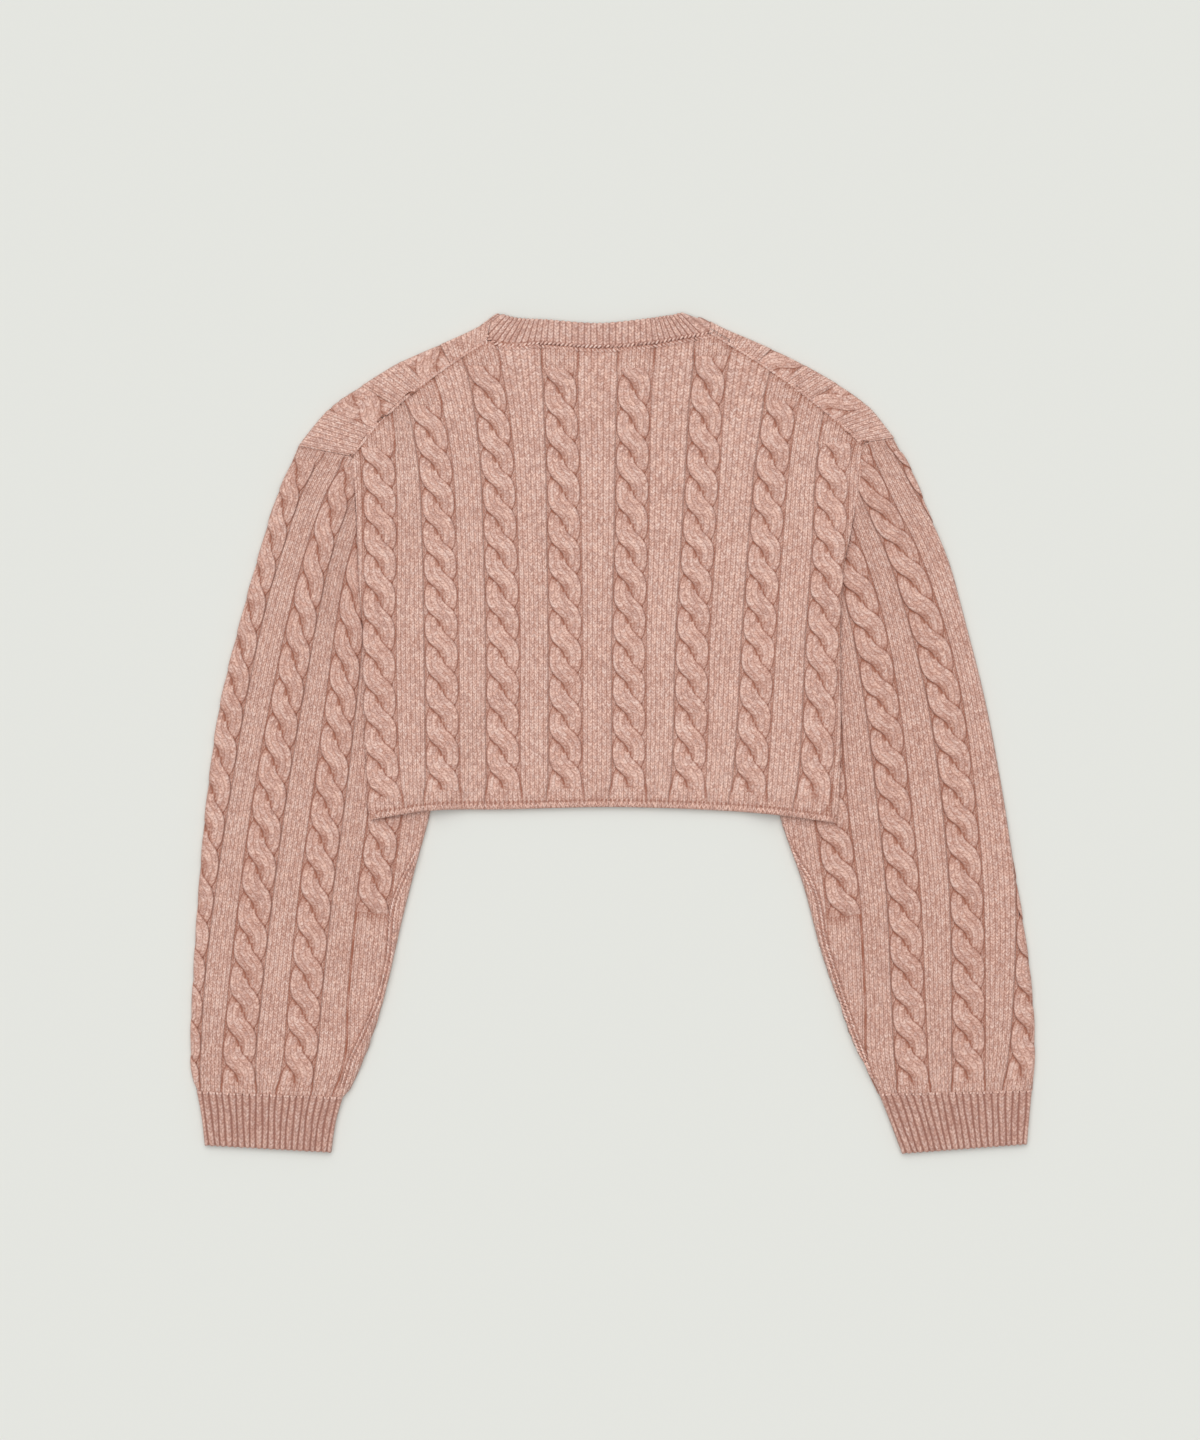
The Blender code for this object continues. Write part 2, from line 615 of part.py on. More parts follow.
def make_front_panel():
    wall = Wall()
    outside = wall.grid(plain_grid(0.0))
    inside = wall.grid(plain_grid(WALL))
    wall.skin(outside)
    wall.skin(inside)
    close_rim(wall, outside, inside)
    piece = put("front_panel", wall.mesh("front_panel"), WOOL)
    cutter = helper("front_outline", prism(inset(front_outline(), SEAM_GAP)).mesh("front_outline"))
    combine(piece, cutter, "INTERSECT")
    left = strip_wall(FOLD_LEFT, SHOULDER_LEFT, STRIP_LEFT)
    right = strip_wall(FOLD_RIGHT, SHOULDER_RIGHT, STRIP_RIGHT)
    combine(piece, helper("strip_left", left.mesh("strip_left")), "UNION")
    combine(piece, helper("strip_right", right.mesh("strip_right")), "UNION")


# Neckband

def neck_sections(table, count):
    """Rows between those of a neckband table, evenly spaced along the seam."""
    seam = np.array([(row.seam_x, row.seam_y) for row in table], float)
    steps = np.linalg.norm(np.diff(seam, axis=0), axis=1)
    length = np.concatenate(([0.0], np.cumsum(steps))) / steps.sum()
    curve = through(length, np.array(table, float))
    return [NeckRow(*curve(i / count)) for i in range(count + 1)]


def neck_ring(row, level, turn, outward, rise):
    """Section of the band: seam edge, outside, free edge, inside. turn 90 is up, -90 is down."""
    facing = math.radians(turn)
    seam = np.array((row.seam_x, row.seam_y))
    edge = np.array((row.edge_x, row.edge_y))
    ring = []
    for share, depth in NECK_RING:
        offset = WALL * depth + (rise if depth > 0 else 0.0)
        flat = seam + (edge - seam) * share + outward * (math.cos(facing) * offset)
        ring.append((flat[0], flat[1], level + math.sin(facing) * offset))
    return ring


def neck_fold(row, side):
    """Sections that turn the band from its upper half to its lower one at a shoulder."""
    seam = np.array((row.seam_x, row.seam_y))
    edge = np.array((row.edge_x, row.edge_y))
    across = (seam - edge) / np.linalg.norm(seam - edge)
    outward = np.array((across[1], -across[0])) * side
    radius = LAYER_STEP / 2
    rings = []
    for turn in FOLD_TURNS:
        angle = math.radians(turn)
        shift = outward * (radius * math.cos(angle) - FOLD_HEIGHT / 2)
        centre = NeckRow(*(seam + shift), *(edge + shift))
        rings.append(neck_ring(centre, FOLD_HEIGHT / 2 + radius * math.sin(angle), turn, outward, 0.0))
    return rings


def make_neckband():
    level_back = LAYER_STEP + WALL / 2
    level_front = WALL / 2
    still = np.zeros(2)
    back = neck_sections(NECK_BACK, NECK_RIB_COUNT * 2)
    front = neck_sections(NECK_FRONT, NECK_FRONT_SECTIONS)
    rings = []
    for number, row in enumerate(back[NECK_FOLD_ROOM[0]:-NECK_FOLD_ROOM[1]]):
        rings.append(neck_ring(row, level_back, 90.0, still, NECK_RIB_RISE * (number % 2)))
    rings.extend(neck_fold(back[-1], -1.0))
    for row in front[1:-1]:
        rings.append(neck_ring(row, level_front, -90.0, still, 0.0))
    rings.extend(reversed(neck_fold(back[0], 1.0)))
    wall = Wall()
    numbers = wall.grid(rings)
    wall.skin([*numbers, numbers[0]], closed=True)
    put("neckband", wall.mesh("neckband"), RIB_WOOL)


# Sleeves and cuffs are flattened tubes: sections from the low-x fold over the top and back below

def tube_section(places, rises, row_level, low, high):
    """Outside of a flattened tube; places and rises are those of its upper side."""
    (near, near_half), (far, far_half) = FOLD_ROUND
    middle = FOLD_HEIGHT / 2
    section = [(low, middle), (low + near, middle + near_half)]
    section += [(x, FOLD_HEIGHT + rise) for x, rise in zip(places, rises)]
    section += [(high - near, middle + near_half), (high, middle)]
    section += [(high - far, middle - far_half), (low + far, middle - far_half)]
    return [(x, row_level(x), z) for x, z in section]


def tube_keys(count_top):
    """Places round a tube's section, 0 at its low-x fold and 0.5 at the other one."""
    count_top += 3
    top = [0.5 * i / count_top for i in range(count_top)]
    return top + [0.5, 0.54, 0.96, 1.0]


def tube_hollow(row_level, low, high):
    """Inside of a flattened tube, a slit between its two layers."""
    middle = FOLD_HEIGHT / 2
    reach = WALL + 2.0
    places = (
        (low + WALL, middle), (low + reach, LAYER_STEP), ((low + high) / 2, LAYER_STEP),
        (high - reach, LAYER_STEP), (high - WALL, middle), (high - reach, WALL),
        ((low + high) / 2, WALL), (low + reach, WALL),
    )
    return [(x, row_level(x), z) for x, z in places]


def tube_mesh(name, outside, hollow):
    wall = Wall()
    outer = wall.grid(outside)
    inner = wall.grid(hollow)
    wall.skin(outer, closed=True)
    wall.skin(inner, closed=True)
    keys = tube_keys(len(outside[0]) - 6)
    for end in (0, -1):
        first = [*outer[end], outer[end][0]]
        second = [*inner[end], inner[end][0]]
        wall.zip(first, keys, second, HOLLOW_KEYS)
    return wall.mesh(name)


def sleeve_row(curve, row, outline_low, outline_high):
    """One knit row of a sleeve: its level across, its cables in order of x, and its two folds."""
    level, slope, *cables = curve(row)
    second = cables[1]

    def row_level(x):
        return level + slope * (x - second)

    folds = []
    for outline in (outline_low, outline_high):
        x = outline(level)
        for _ in range(LEVEL_ROUNDS):
            x = outline(row_level(x))
        folds.append(x)
    return row_level, folds[0], folds[1], cables


def body_cover(x, y, side):
    """0 where the body lies on the sleeve, 1 well clear of it."""
    beside = side_left(y) - x if side < 0 else x - side_right(y)
    below = hem_level(SIDE_LEFT[-1][0] if side < 0 else SIDE_RIGHT[-1][0]) - y
    return smooth_step((max(beside, below) - UNDER_BODY_CLEAR) / UNDER_BODY_FADE)


def sleeve_columns(row, cables, side, low, high):
    """Places, leads and rises of a row's columns over the sleeve's upper side, in order of x."""
    columns = []
    for number, centre in enumerate(cables):
        fade = 1.0
        if number == 3:
            fade = smooth_step((row - INNER_CABLE_ENDS) / INNER_CABLE_FADE + 1.0)
        if number == 0:
            profile = CABLE_PROFILE[2:] if side < 0 else CABLE_PROFILE[:3]
        elif number == 3:
            profile = CABLE_PROFILE[::2]
        else:
            profile = CABLE_PROFILE
        cable = [(centre - CABLE_HALF - RIB_BEVEL, 0.0, RIB_RISE)]
        for column in profile:
            rise = cable_rise(column, row, 1.0) * fade + RIB_RISE * (1.0 - fade)
            cable.append((centre + column.across * CABLE_HALF, column.lead * fade, rise))
        cable.append((centre + CABLE_HALF + RIB_BEVEL, 0.0, RIB_RISE))
        if number == 0:
            cable = cable[1:] if side < 0 else cable[:-1]
        if number == 3:
            cable = cable[:-1] if side < 0 else cable[1:]
        columns.append(cable)
    if side > 0:
        columns.reverse()
    flat = [column for cable in columns for column in cable]
    if side < 0:
        flat.append((high - FOLD_ROUND[1][0], 0.0, 0.0))
    else:
        flat.insert(0, (low + FOLD_ROUND[1][0], 0.0, 0.0))
    return flat


def sleeve_mesh(name, table, outer_outline, inner_outline, side):
    curve = through([row.crossing for row in table], np.array([row[1:] for row in table], float))
    outer_fold = through([y for y, x in outer_outline], [x for y, x in outer_outline])
    inner_fold = through([y for y, x in inner_outline], [x for y, x in inner_outline])
    outline_low, outline_high = (outer_fold, inner_fold) if side < 0 else (inner_fold, outer_fold)
    pitch = (curve(10.0)[0] - curve(0.0)[0]) / 10.0
    rows = list(WRIST_ROWS)
    rows += [i / ROWS_PER_CROSSING for i in range(int(SLEEVE_TOP * ROWS_PER_CROSSING) + 1)]
    outside = []
    for row in rows:
        row_level, low, high, cables = sleeve_row(curve, row, outline_low, outline_high)
        columns = sleeve_columns(row, cables, side, low, high)
        places = [place for place, lead, rise in columns]
        count = len(places)
        margin = FOLD_ROUND[0][0] + LEAST_COLUMN
        places = [max(x, low + margin + LEAST_COLUMN * i) for i, x in enumerate(places)]
        places = [min(x, high - margin - LEAST_COLUMN * (count - 1 - i)) for i, x in enumerate(places)]
        for i in range(1, count):
            places[i] = max(places[i], places[i - 1] + LEAST_COLUMN / 2)
        at_end = row in (rows[0], rows[-1])
        crossed = smooth_step(row * 2.0) * smooth_step((SLEEVE_TOP - SLEEVE_EVEN_ROWS - row) * 2.0)
        section = tube_section(places, [0.0] * count, row_level, low, high)
        for i, (_, lead, rise) in enumerate(columns):
            x, y, z = section[i + 2]
            from_fold = min(x - low, high - x)
            y += lead * pitch * crossed * smooth_step((from_fold - FOLD_FADE) / LEAD_FADE)
            shown = 0.0 if at_end else smooth_step(from_fold / FOLD_FADE) * body_cover(x, y, side)
            section[i + 2] = (x, y, z + rise * shown)
        outside.append(section)
    hollow = []
    inner_rows = list(np.arange(rows[0], rows[-1] - INNER_RING_STEP / 2, INNER_RING_STEP)) + [rows[-1]]
    for row in inner_rows:
        row_level, low, high, _ = sleeve_row(curve, row, outline_low, outline_high)
        hollow.append(tube_hollow(row_level, low, high))
    return tube_mesh(name, outside, hollow)


def armhole_outline(side_points, hidden, end, corner, side):
    """Region the sleeve must stay out of: over the armhole seam and past its hidden end."""
    outward = np.array((side * SEAM_GAP, 0.0))
    down = np.array((0.0, -SEAM_GAP))
    out = side * ARMHOLE_OUT
    line = [np.array((out, ARMHOLE_UP)), np.array((out, end[1] - ARMHOLE_DROP))]
    line.append(np.array(end) + down * ARMHOLE_CORNER)
    line.append(np.array(corner) + down + outward)
    line += [np.array(point) + outward for point in side_points]
    line += [np.array(point, float) for point in hidden]
    line.append(np.array((0.0, hidden[-1][1])))
    line.append(np.array((0.0, ARMHOLE_UP)))
    return line


def make_sleeve(name, table, outer_outline, inner_outline, side, armhole):
    mesh = sleeve_mesh(name, table, outer_outline, inner_outline, side)
    piece = put(name, mesh, WOOL)
    cutter = helper(name + "_armhole", prism(armhole).mesh(name + "_armhole"))
    combine(piece, cutter, "DIFFERENCE")


def make_cuff(name, table):
    """Tube of one-by-one rib, its ribs raised on the upper side."""
    outside = []
    hollow = []
    count = CUFF_RIB_COUNT * 2
    for number, row in enumerate(table):
        drop = SEAM_GAP if number == 0 else 0.0
        low = row.low_x
        high = row.high_x
        slope = (row.high_y - row.low_y) / (row.high_x - row.low_x)

        def row_level(x, row=row, slope=slope, drop=drop):
            return row.low_y + slope * (x - row.low_x) - drop

        start = low + FOLD_ROUND[1][0]
        width = high - low - 2 * FOLD_ROUND[1][0]
        places = [start + width * i / count for i in range(count + 1)]
        rib = 0.0 if number in (0, len(table) - 1) else CUFF_RIB_RISE
        rises = [rib * (i % 2) for i in range(count + 1)]
        outside.append(tube_section(places, rises, row_level, low, high))
        hollow.append(tube_hollow(row_level, low, high))
    put(name, tube_mesh(name, outside, [hollow[0], hollow[-1]]), RIB_WOOL)


clear_scene()
make_back_panel()
make_front_panel()
make_neckband()
left_armhole = np.linspace(SIDE_LEFT[0][1], ARMHOLE_LEFT_TO, ARMHOLE_STEPS + 1)[1:]
left_cut = armhole_outline([(side_left(y), y) for y in left_armhole], HIDDEN_ARMHOLE_LEFT,
                           FOLD_LEFT[-1], SIDE_LEFT[0], -1.0)
right_armhole = np.linspace(SIDE_RIGHT[0][1], ARMHOLE_RIGHT_TO, ARMHOLE_STEPS + 1)[1:]
right_cut = armhole_outline([(side_right(y), y) for y in right_armhole], HIDDEN_ARMHOLE_RIGHT,
                            FOLD_RIGHT[-1], SIDE_RIGHT[0], 1.0)
make_sleeve("sleeve_left", SLEEVE_LEFT_ROWS, SLEEVE_LEFT_OUTER, SLEEVE_LEFT_INNER, -1.0, left_cut)
make_sleeve("sleeve_right", SLEEVE_RIGHT_ROWS, SLEEVE_RIGHT_OUTER, SLEEVE_RIGHT_INNER, 1.0, right_cut)
make_cuff("cuff_left", CUFF_LEFT)
make_cuff("cuff_right", CUFF_RIGHT)
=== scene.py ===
import math

import bmesh
import bpy
import numpy as np
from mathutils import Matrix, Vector


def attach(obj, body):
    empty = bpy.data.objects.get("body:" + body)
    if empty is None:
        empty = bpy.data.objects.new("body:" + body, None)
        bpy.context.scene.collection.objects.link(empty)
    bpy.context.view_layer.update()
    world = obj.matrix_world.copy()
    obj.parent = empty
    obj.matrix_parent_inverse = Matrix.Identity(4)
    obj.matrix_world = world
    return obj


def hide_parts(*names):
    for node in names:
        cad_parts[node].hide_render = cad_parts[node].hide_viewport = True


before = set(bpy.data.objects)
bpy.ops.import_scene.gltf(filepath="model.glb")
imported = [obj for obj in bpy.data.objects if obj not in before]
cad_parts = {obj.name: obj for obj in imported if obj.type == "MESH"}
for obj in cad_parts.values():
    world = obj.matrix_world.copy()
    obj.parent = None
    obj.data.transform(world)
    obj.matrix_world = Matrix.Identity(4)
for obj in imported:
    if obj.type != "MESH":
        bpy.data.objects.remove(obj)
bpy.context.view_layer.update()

# Everything below is worked out in millimetres and made into metres when a mesh is written.
mm = 0.001

knit = {
    "wall": 2.5,            # thickness of the plain cloth
    "shell": 2.2,           # and of its shells here
    "ribShell": 1.8,
    "step": 3.0,            # from one layer to the next
    "waleWidth": 3.7,
    "rowsPerCrossing": 10,
    "repeat": 15,           # wales from one cable to the next
    "ribWales": 6,
    "ribRise": 1.0,         # plain ribs over the gutters
    "ribCurl": 0.28,        # the wales at a rib's edges stand a little higher
    "waleRipple": 0.16,
    "cableHalf": 13.3,
    "gutter": 1.9,          # purl column on each side of a cable
    "sunkEnd": 1.2,         # how far a cable's end goes down into the ground
    "edgeRound": 1.6,       # a cloth's edges round over this far in
    "edgeDrop": 0.9,
}
edgeSteps = np.array((0.0, 0.3, 0.8, 1.6))
topOfTwo = knit["step"] + knit["wall"]      # top of a cloth that lies on another one
foldRadius = topOfTwo / 2
foldRun = math.pi * foldRadius              # cloth that a fold takes up
ribEdge = knit["cableHalf"] + knit["gutter"]


def smoothStep(value):
    value = np.clip(value, 0.0, 1.0)
    return value * value * (3.0 - 2.0 * value)


def smoothCurve(keys, values):
    # a cubic through the values, straight past its ends, for a number or an array of them
    order = np.argsort(keys)
    keys, values = np.asarray(keys, float)[order], np.asarray(values, float)[order]
    slopes = np.gradient(values, keys)

    def at(key):
        i = np.clip(np.searchsorted(keys, key) - 1, 0, len(keys) - 2)
        span = keys[i + 1] - keys[i]
        free = (key - keys[i]) / span
        t = np.clip(free, 0.0, 1.0)
        here = values[i] * (1 + 2 * t) * (1 - t) ** 2 + slopes[i] * span * t * (1 - t) ** 2
        there = values[i + 1] * t * t * (3 - 2 * t) - slopes[i + 1] * span * t * t * (1 - t)
        past = (free - t) * span
        return here + there + past * np.where(past > 0, slopes[i + 1], slopes[i])

    return at


def pathCurve(points):
    # a smooth path through points by the share of its length in x and y, and that length
    points = np.asarray(points, float)
    steps = np.linalg.norm(np.diff(points[:, :2], axis=0), axis=1)
    share = np.concatenate(([0.0], np.cumsum(steps))) / steps.sum()
    places = [smoothCurve(share, column) for column in points.T]

    def at(key):
        return np.stack([place(key) for place in places], axis=-1)

    return at, steps.sum()


def byLevel(points):
    # x as a curve over y
    xs, ys = zip(*points)
    return smoothCurve(ys, xs)


def signedDistance(x, y, line):
    # how far a point lies from a line, above 0 on the right of its direction
    best = np.full(np.shape(x), 1e9)
    sign = np.ones(np.shape(x))
    for (ax, ay), (bx, by) in zip(line, line[1:]):
        length = math.hypot(bx - ax, by - ay)
        ux, uy = (bx - ax) / length, (by - ay) / length
        along = np.clip((x - ax) * ux + (y - ay) * uy, 0.0, length)
        away = np.hypot(x - ax - ux * along, y - ay - uy * along)
        right = (x - ax) * uy - (y - ay) * ux
        nearer = away < best - 1e-9
        best = np.where(nearer, away, best)
        sign = np.where(nearer, np.where(right >= 0, 1.0, -1.0), sign)
    return best * sign


def edgeDropAt(distance):
    # how far a cloth's surface has rounded down at this distance from its edge
    left = 1.0 - np.clip(distance / knit["edgeRound"], 0.0, 1.0)
    return knit["edgeDrop"] * (1.0 - np.sqrt(1.0 - left * left))


def aboveFold(z):
    # 0 up to the middle of a fold, 1 on the upper layer
    return smoothStep((z - foldRadius) / foldRadius)


def wrapFold(past, height):
    # cloth that goes round a fold: how far forward and how high a point comes
    turn = np.clip(past / foldRadius, 0.0, math.pi)
    height = height * (1.0 - 0.55 * smoothStep(turn / (math.pi / 2)))
    room = foldRadius * (1.0 / np.maximum(-np.cos(turn), 1e-3) - 1.0)
    height = np.where(turn > math.pi / 2, np.minimum(height, room), height)
    radius = foldRadius + height
    forward = np.minimum(past, 0.0) + radius * np.sin(turn) - np.maximum(past - foldRun, 0.0)
    return forward, foldRadius + radius * np.cos(turn)


def gridPart(x, y, z, wale, row, paintedShade, closed=False, flip=False):
    # a net of points as one part of a mesh, with what the knit's finish reads at each point: its stitch
    # place and its painted shade
    x, y, z, wale, row, paintedShade = np.broadcast_arrays(x, y, z, wale, row, paintedShade)
    rows, columns = x.shape
    number = np.arange(rows * columns).reshape(rows, columns)
    if closed:
        number = np.concatenate((number, number[:, :1]), axis=1)
    faces = np.stack((number[:-1, :-1], number[:-1, 1:], number[1:, 1:], number[1:, :-1]), axis=-1)
    faces = faces.reshape(-1, 4)
    return {
        "points": np.stack((x, y, z), axis=-1).reshape(-1, 3),
        "faces": (faces[:, ::-1] if flip else faces).tolist(),
        "stitch": np.stack((wale, row, np.zeros(x.shape)), axis=-1).reshape(-1, 3),
        "paintedShade": paintedShade.reshape(-1),
    }


def makeMesh(name, parts, material):
    # one mesh from several parts
    mesh = bpy.data.meshes.new(name)
    faces = []
    first = 0
    for part in parts:
        faces.extend([[corner + first for corner in face] for face in part["faces"]])
        first += len(part["points"])
    mesh.from_pydata((np.concatenate([part["points"] for part in parts]) * mm).tolist(), [], faces)
    # the stitch place, and the painted shade that darkens the wool's colour
    for key, kind, field in (("stitch", "FLOAT_VECTOR", "vector"), ("paintedShade", "FLOAT", "value")):
        values = np.concatenate([part[key] for part in parts]).astype(np.float32)
        mesh.attributes.new(key, kind, "POINT").data.foreach_set(field, values.ravel())
    mesh.materials.append(material)
    return mesh


def placeObject(name, data):
    piece = bpy.data.objects.new(name, data)
    bpy.context.scene.collection.objects.link(piece)
    return piece


def plainResult(piece):
    # the piece as its modifiers leave it, as a plain mesh
    bpy.context.view_layer.update()
    evaluated = piece.evaluated_get(bpy.context.evaluated_depsgraph_get())
    mesh = bpy.data.meshes.new_from_object(evaluated)
    piece.modifiers.clear()
    return mesh


def makeShell(name, parts, material, thickness=None):
    # cloth: the outer side is merged and given its thickness, and nothing goes through the floor
    mesh = makeMesh(name, parts, material)
    work = bmesh.new()
    work.from_mesh(mesh)
    bmesh.ops.remove_doubles(work, verts=work.verts, dist=0.06 * mm)
    bmesh.ops.dissolve_degenerate(work, edges=work.edges, dist=0.01 * mm)
    work.to_mesh(mesh)
    work.free()
    piece = placeObject(name, mesh)
    if thickness:
        wall = piece.modifiers.new("thickness", "SOLIDIFY")
        wall.thickness = thickness * mm
        wall.offset = -1.0
        piece.data = plainResult(piece)
        bpy.data.meshes.remove(mesh)
        piece.data.name = name
    for vertex in piece.data.vertices:
        vertex.co.z = max(vertex.co.z, 0.0)
    piece.data.shade_smooth()
    return piece


def finishPiece(piece, node=None):
    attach(piece, "root")
    if node:
        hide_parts(node)
    print("made", piece.name, len(piece.data.polygons), "faces")
    return piece


class Flow:
    # what comes out of a node, reckoned with like a number
    def __init__(self, socket):
        self.socket = socket

    def calc(self, operation, second=0.0, third=0.0):
        values = {0: self, 1: second, 2: third}
        return flow(self.socket.id_data, "ShaderNodeMath", values, operation=operation)

    def __add__(self, other):
        return self.calc("ADD", other)

    def __sub__(self, other):
        return self.calc("SUBTRACT", other)

    def __rsub__(self, other):
        return self * -1.0 + other

    def __mul__(self, other):
        return self.calc("MULTIPLY", other)

    def __truediv__(self, other):
        return self.calc("DIVIDE", other)

    def __pow__(self, other):
        return self.calc("POWER", other)

    def __abs__(self):
        return self.calc("ABSOLUTE")


def feed(node, inputs):
    for key, value in inputs.items():
        if isinstance(value, Flow):
            node.id_data.links.new(value.socket, node.inputs[key])
        else:
            node.inputs[key].default_value = value


def addNode(tree, kind, inputs=None, **settings):
    node = tree.nodes.new(kind)
    for name, value in settings.items():
        setattr(node, name, value)
    feed(node, inputs or {})
    return node


def flow(tree, kind, inputs=None, output=0, **settings):
    return Flow(addNode(tree, kind, inputs, **settings).outputs[output])


def separate(tree, vector):
    return [Flow(socket) for socket in addNode(tree, "ShaderNodeSeparateXYZ", {0: vector}).outputs]


def combine(tree, x=0.0, y=0.0, z=0.0):
    return flow(tree, "ShaderNodeCombineXYZ", {0: x, 1: y, 2: z})


def mixColour(tree, share, first, second):
    return flow(tree, "ShaderNodeMix", {0: share, 6: first, 7: second}, 2, data_type="RGBA")


def storeValue(tree, geometry, name, value, kind="FLOAT", domain="POINT"):
    inputs = {"Geometry": geometry, "Name": name, "Value": value}
    return flow(tree, "GeometryNodeStoreNamedAttribute", inputs, data_type=kind, domain=domain)


def newTree(name, numbers, counts):
    # a tree with its inputs: a geometry, sizes and whole numbers
    tree = bpy.data.node_groups.new(name, "GeometryNodeTree")
    for kind, keys in (("Geometry", ["Geometry"]), ("Float", numbers), ("Int", counts)):
        for key in keys:
            tree.interface.new_socket(key, in_out="INPUT", socket_type="NodeSocket" + kind)
    tree.interface.new_socket("Geometry", in_out="OUTPUT", socket_type="NodeSocketGeometry")
    return tree, {socket.name: Flow(socket) for socket in addNode(tree, "NodeGroupInput").outputs}


def finishTree(tree, geometry, material):
    real = flow(tree, "GeometryNodeRealizeInstances", {0: geometry})
    dressed = flow(tree, "GeometryNodeSetMaterial", {"Geometry": real, "Material": material})
    addNode(tree, "NodeGroupOutput", {0: dressed})
    return tree


def runTree(piece, tree, values):
    # the plain mesh that the tree makes with these values
    modifier = piece.modifiers.new(tree.name, "NODES")
    modifier.node_group = tree
    for item in tree.interface.items_tree:
        if item.in_out == "INPUT" and item.name in values:
            modifier[item.identifier] = values[item.name]
    return plainResult(piece)


def newMaterial(name):
    material = bpy.data.materials.new(name)
    material.use_nodes = True
    return material, material.node_tree, material.node_tree.nodes["Principled BSDF"]


wool = {
    "dark": (0.42, 0.225, 0.178, 1.0),
    "middle": (0.69, 0.43, 0.358, 1.0),
    "pale": (0.96, 0.70, 0.60, 1.0),
    "warmth": (1.03, 0.985, 0.95, 1.0),       # single stitches lean to one of these
    "coolness": (0.975, 1.015, 1.035, 1.0),
    "shadePaint": (0.33, 0.118, 0.07, 1.0),         # painted shade colour, down in the gutters and slits
    "shadePaintRib": (0.33, 0.145, 0.105, 1.0),
    # the most the painted shade may cover the wool's colour
    "mostShadePaint": 0.96,
    "fibreScale": 1000.0,                     # heather, per metre
    "patchScale": 30.0,
    "fuzzScale": 1500.0,
    "legTone": 0.5,                           # how much legs, fibres and patches differ in tone
    "fibreTone": 2.2,
    "patchTone": 0.25,
    "toneShift": -0.89,
    "shadeInValleys": 0.78,                       # how dark the painted shade in a valley is
    "shadeBetweenWales": 0.65,                         # and the painted shade in the line between two wales
    "stitchDepth": 0.5,                       # bump of the stitches, in millimetres
    "fuzzDepth": 0.3,
    "finish": {"Roughness": 0.95, "Specular IOR Level": 0.12, "Sheen Weight": 0.2, "Sheen Roughness": 0.6,
               "Sheen Tint": (1.0, 0.86, 0.8, 1.0)},
}


def stitchPattern(tree, wale, row, kind):
    # the two legs of each plain stitch make a V; a purl stitch is a low bar; the grooves between them are a
    # bump and painted shade
    wholeTurn = 2 * math.pi
    fromMiddle = abs(wale.calc("FRACT") - 0.5)
    phase = row - fromMiddle * 1.4
    between = (fromMiddle * 2.0) ** 5.0
    middle = (1.0 - fromMiddle * 2.0) ** 7.0
    yarnGap = ((phase * wholeTurn).calc("COSINE") * 0.5 + 0.5) ** 3.0
    grooveBumpAndShade = (between + middle * 0.4 + yarnGap * 0.45).calc("MINIMUM", 1.0)
    purl = (row * wholeTurn).calc("COSINE") * 0.3 + 0.4
    mixed = flow(tree, "ShaderNodeMix", {0: kind, 2: grooveBumpAndShade, 3: purl}, data_type="FLOAT")
    return mixed, combine(tree, (wale * 2.0).calc("FLOOR"), phase.calc("FLOOR"))


def makeWool(name, shadePaint):
    material, tree, shader = newMaterial(name)
    stitch = flow(tree, "ShaderNodeAttribute", None, "Vector", attribute_name="stitch")
    paintedShade = flow(tree, "ShaderNodeAttribute", None, "Fac", attribute_name="paintedShade")
    place = flow(tree, "ShaderNodeTexCoord", None, "Object")
    grooveBumpAndShade, cell = stitchPattern(tree, *separate(tree, stitch))

    def noise(scale, roughness=0.5):
        inputs = {"Vector": place, "Scale": scale, "Detail": 2.0, "Roughness": roughness}
        return flow(tree, "ShaderNodeTexNoise", inputs)

    # heather: each leg of a stitch has its own tone, with finer flecks and slow changes over it
    leg = addNode(tree, "ShaderNodeTexWhiteNoise", {"Vector": cell}, noise_dimensions="2D").outputs
    tone = Flow(leg[0]) * wool["legTone"] + noise(wool["fibreScale"], 0.6) * wool["fibreTone"]
    tone = tone + noise(wool["patchScale"]) * wool["patchTone"] + wool["toneShift"]
    ramp = addNode(tree, "ShaderNodeValToRGB", {0: tone})
    ramp.color_ramp.elements[0].color = wool["dark"]
    ramp.color_ramp.elements[1].color = wool["pale"]
    ramp.color_ramp.elements.new(0.5).color = wool["middle"]
    cast = mixColour(tree, separate(tree, Flow(leg[1]))[1], wool["warmth"], wool["coolness"])
    toned = flow(tree, "ShaderNodeVectorMath", {0: Flow(ramp.outputs[0]), 1: cast}, operation="MULTIPLY")
    # painted shade: valleys and the grooves between stitches mix the tone towards the shade colour
    depth = (paintedShade * wool["shadeInValleys"] + grooveBumpAndShade * wool["shadeBetweenWales"]).calc("MINIMUM", wool["mostShadePaint"])
    relief = noise(wool["fuzzScale"]) * (wool["fuzzDepth"] * mm) - grooveBumpAndShade * (wool["stitchDepth"] * mm)
    bump = flow(tree, "ShaderNodeBump", {"Height": relief, "Distance": 1.0, "Strength": 0.9})
    feed(shader, {"Base Color": mixColour(tree, depth, toned, shadePaint), "Normal": bump, **wool["finish"]})
    return material


woolKnit = makeWool("woolKnit", wool["shadePaint"])
woolRib = makeWool("woolRib", wool["shadePaintRib"])

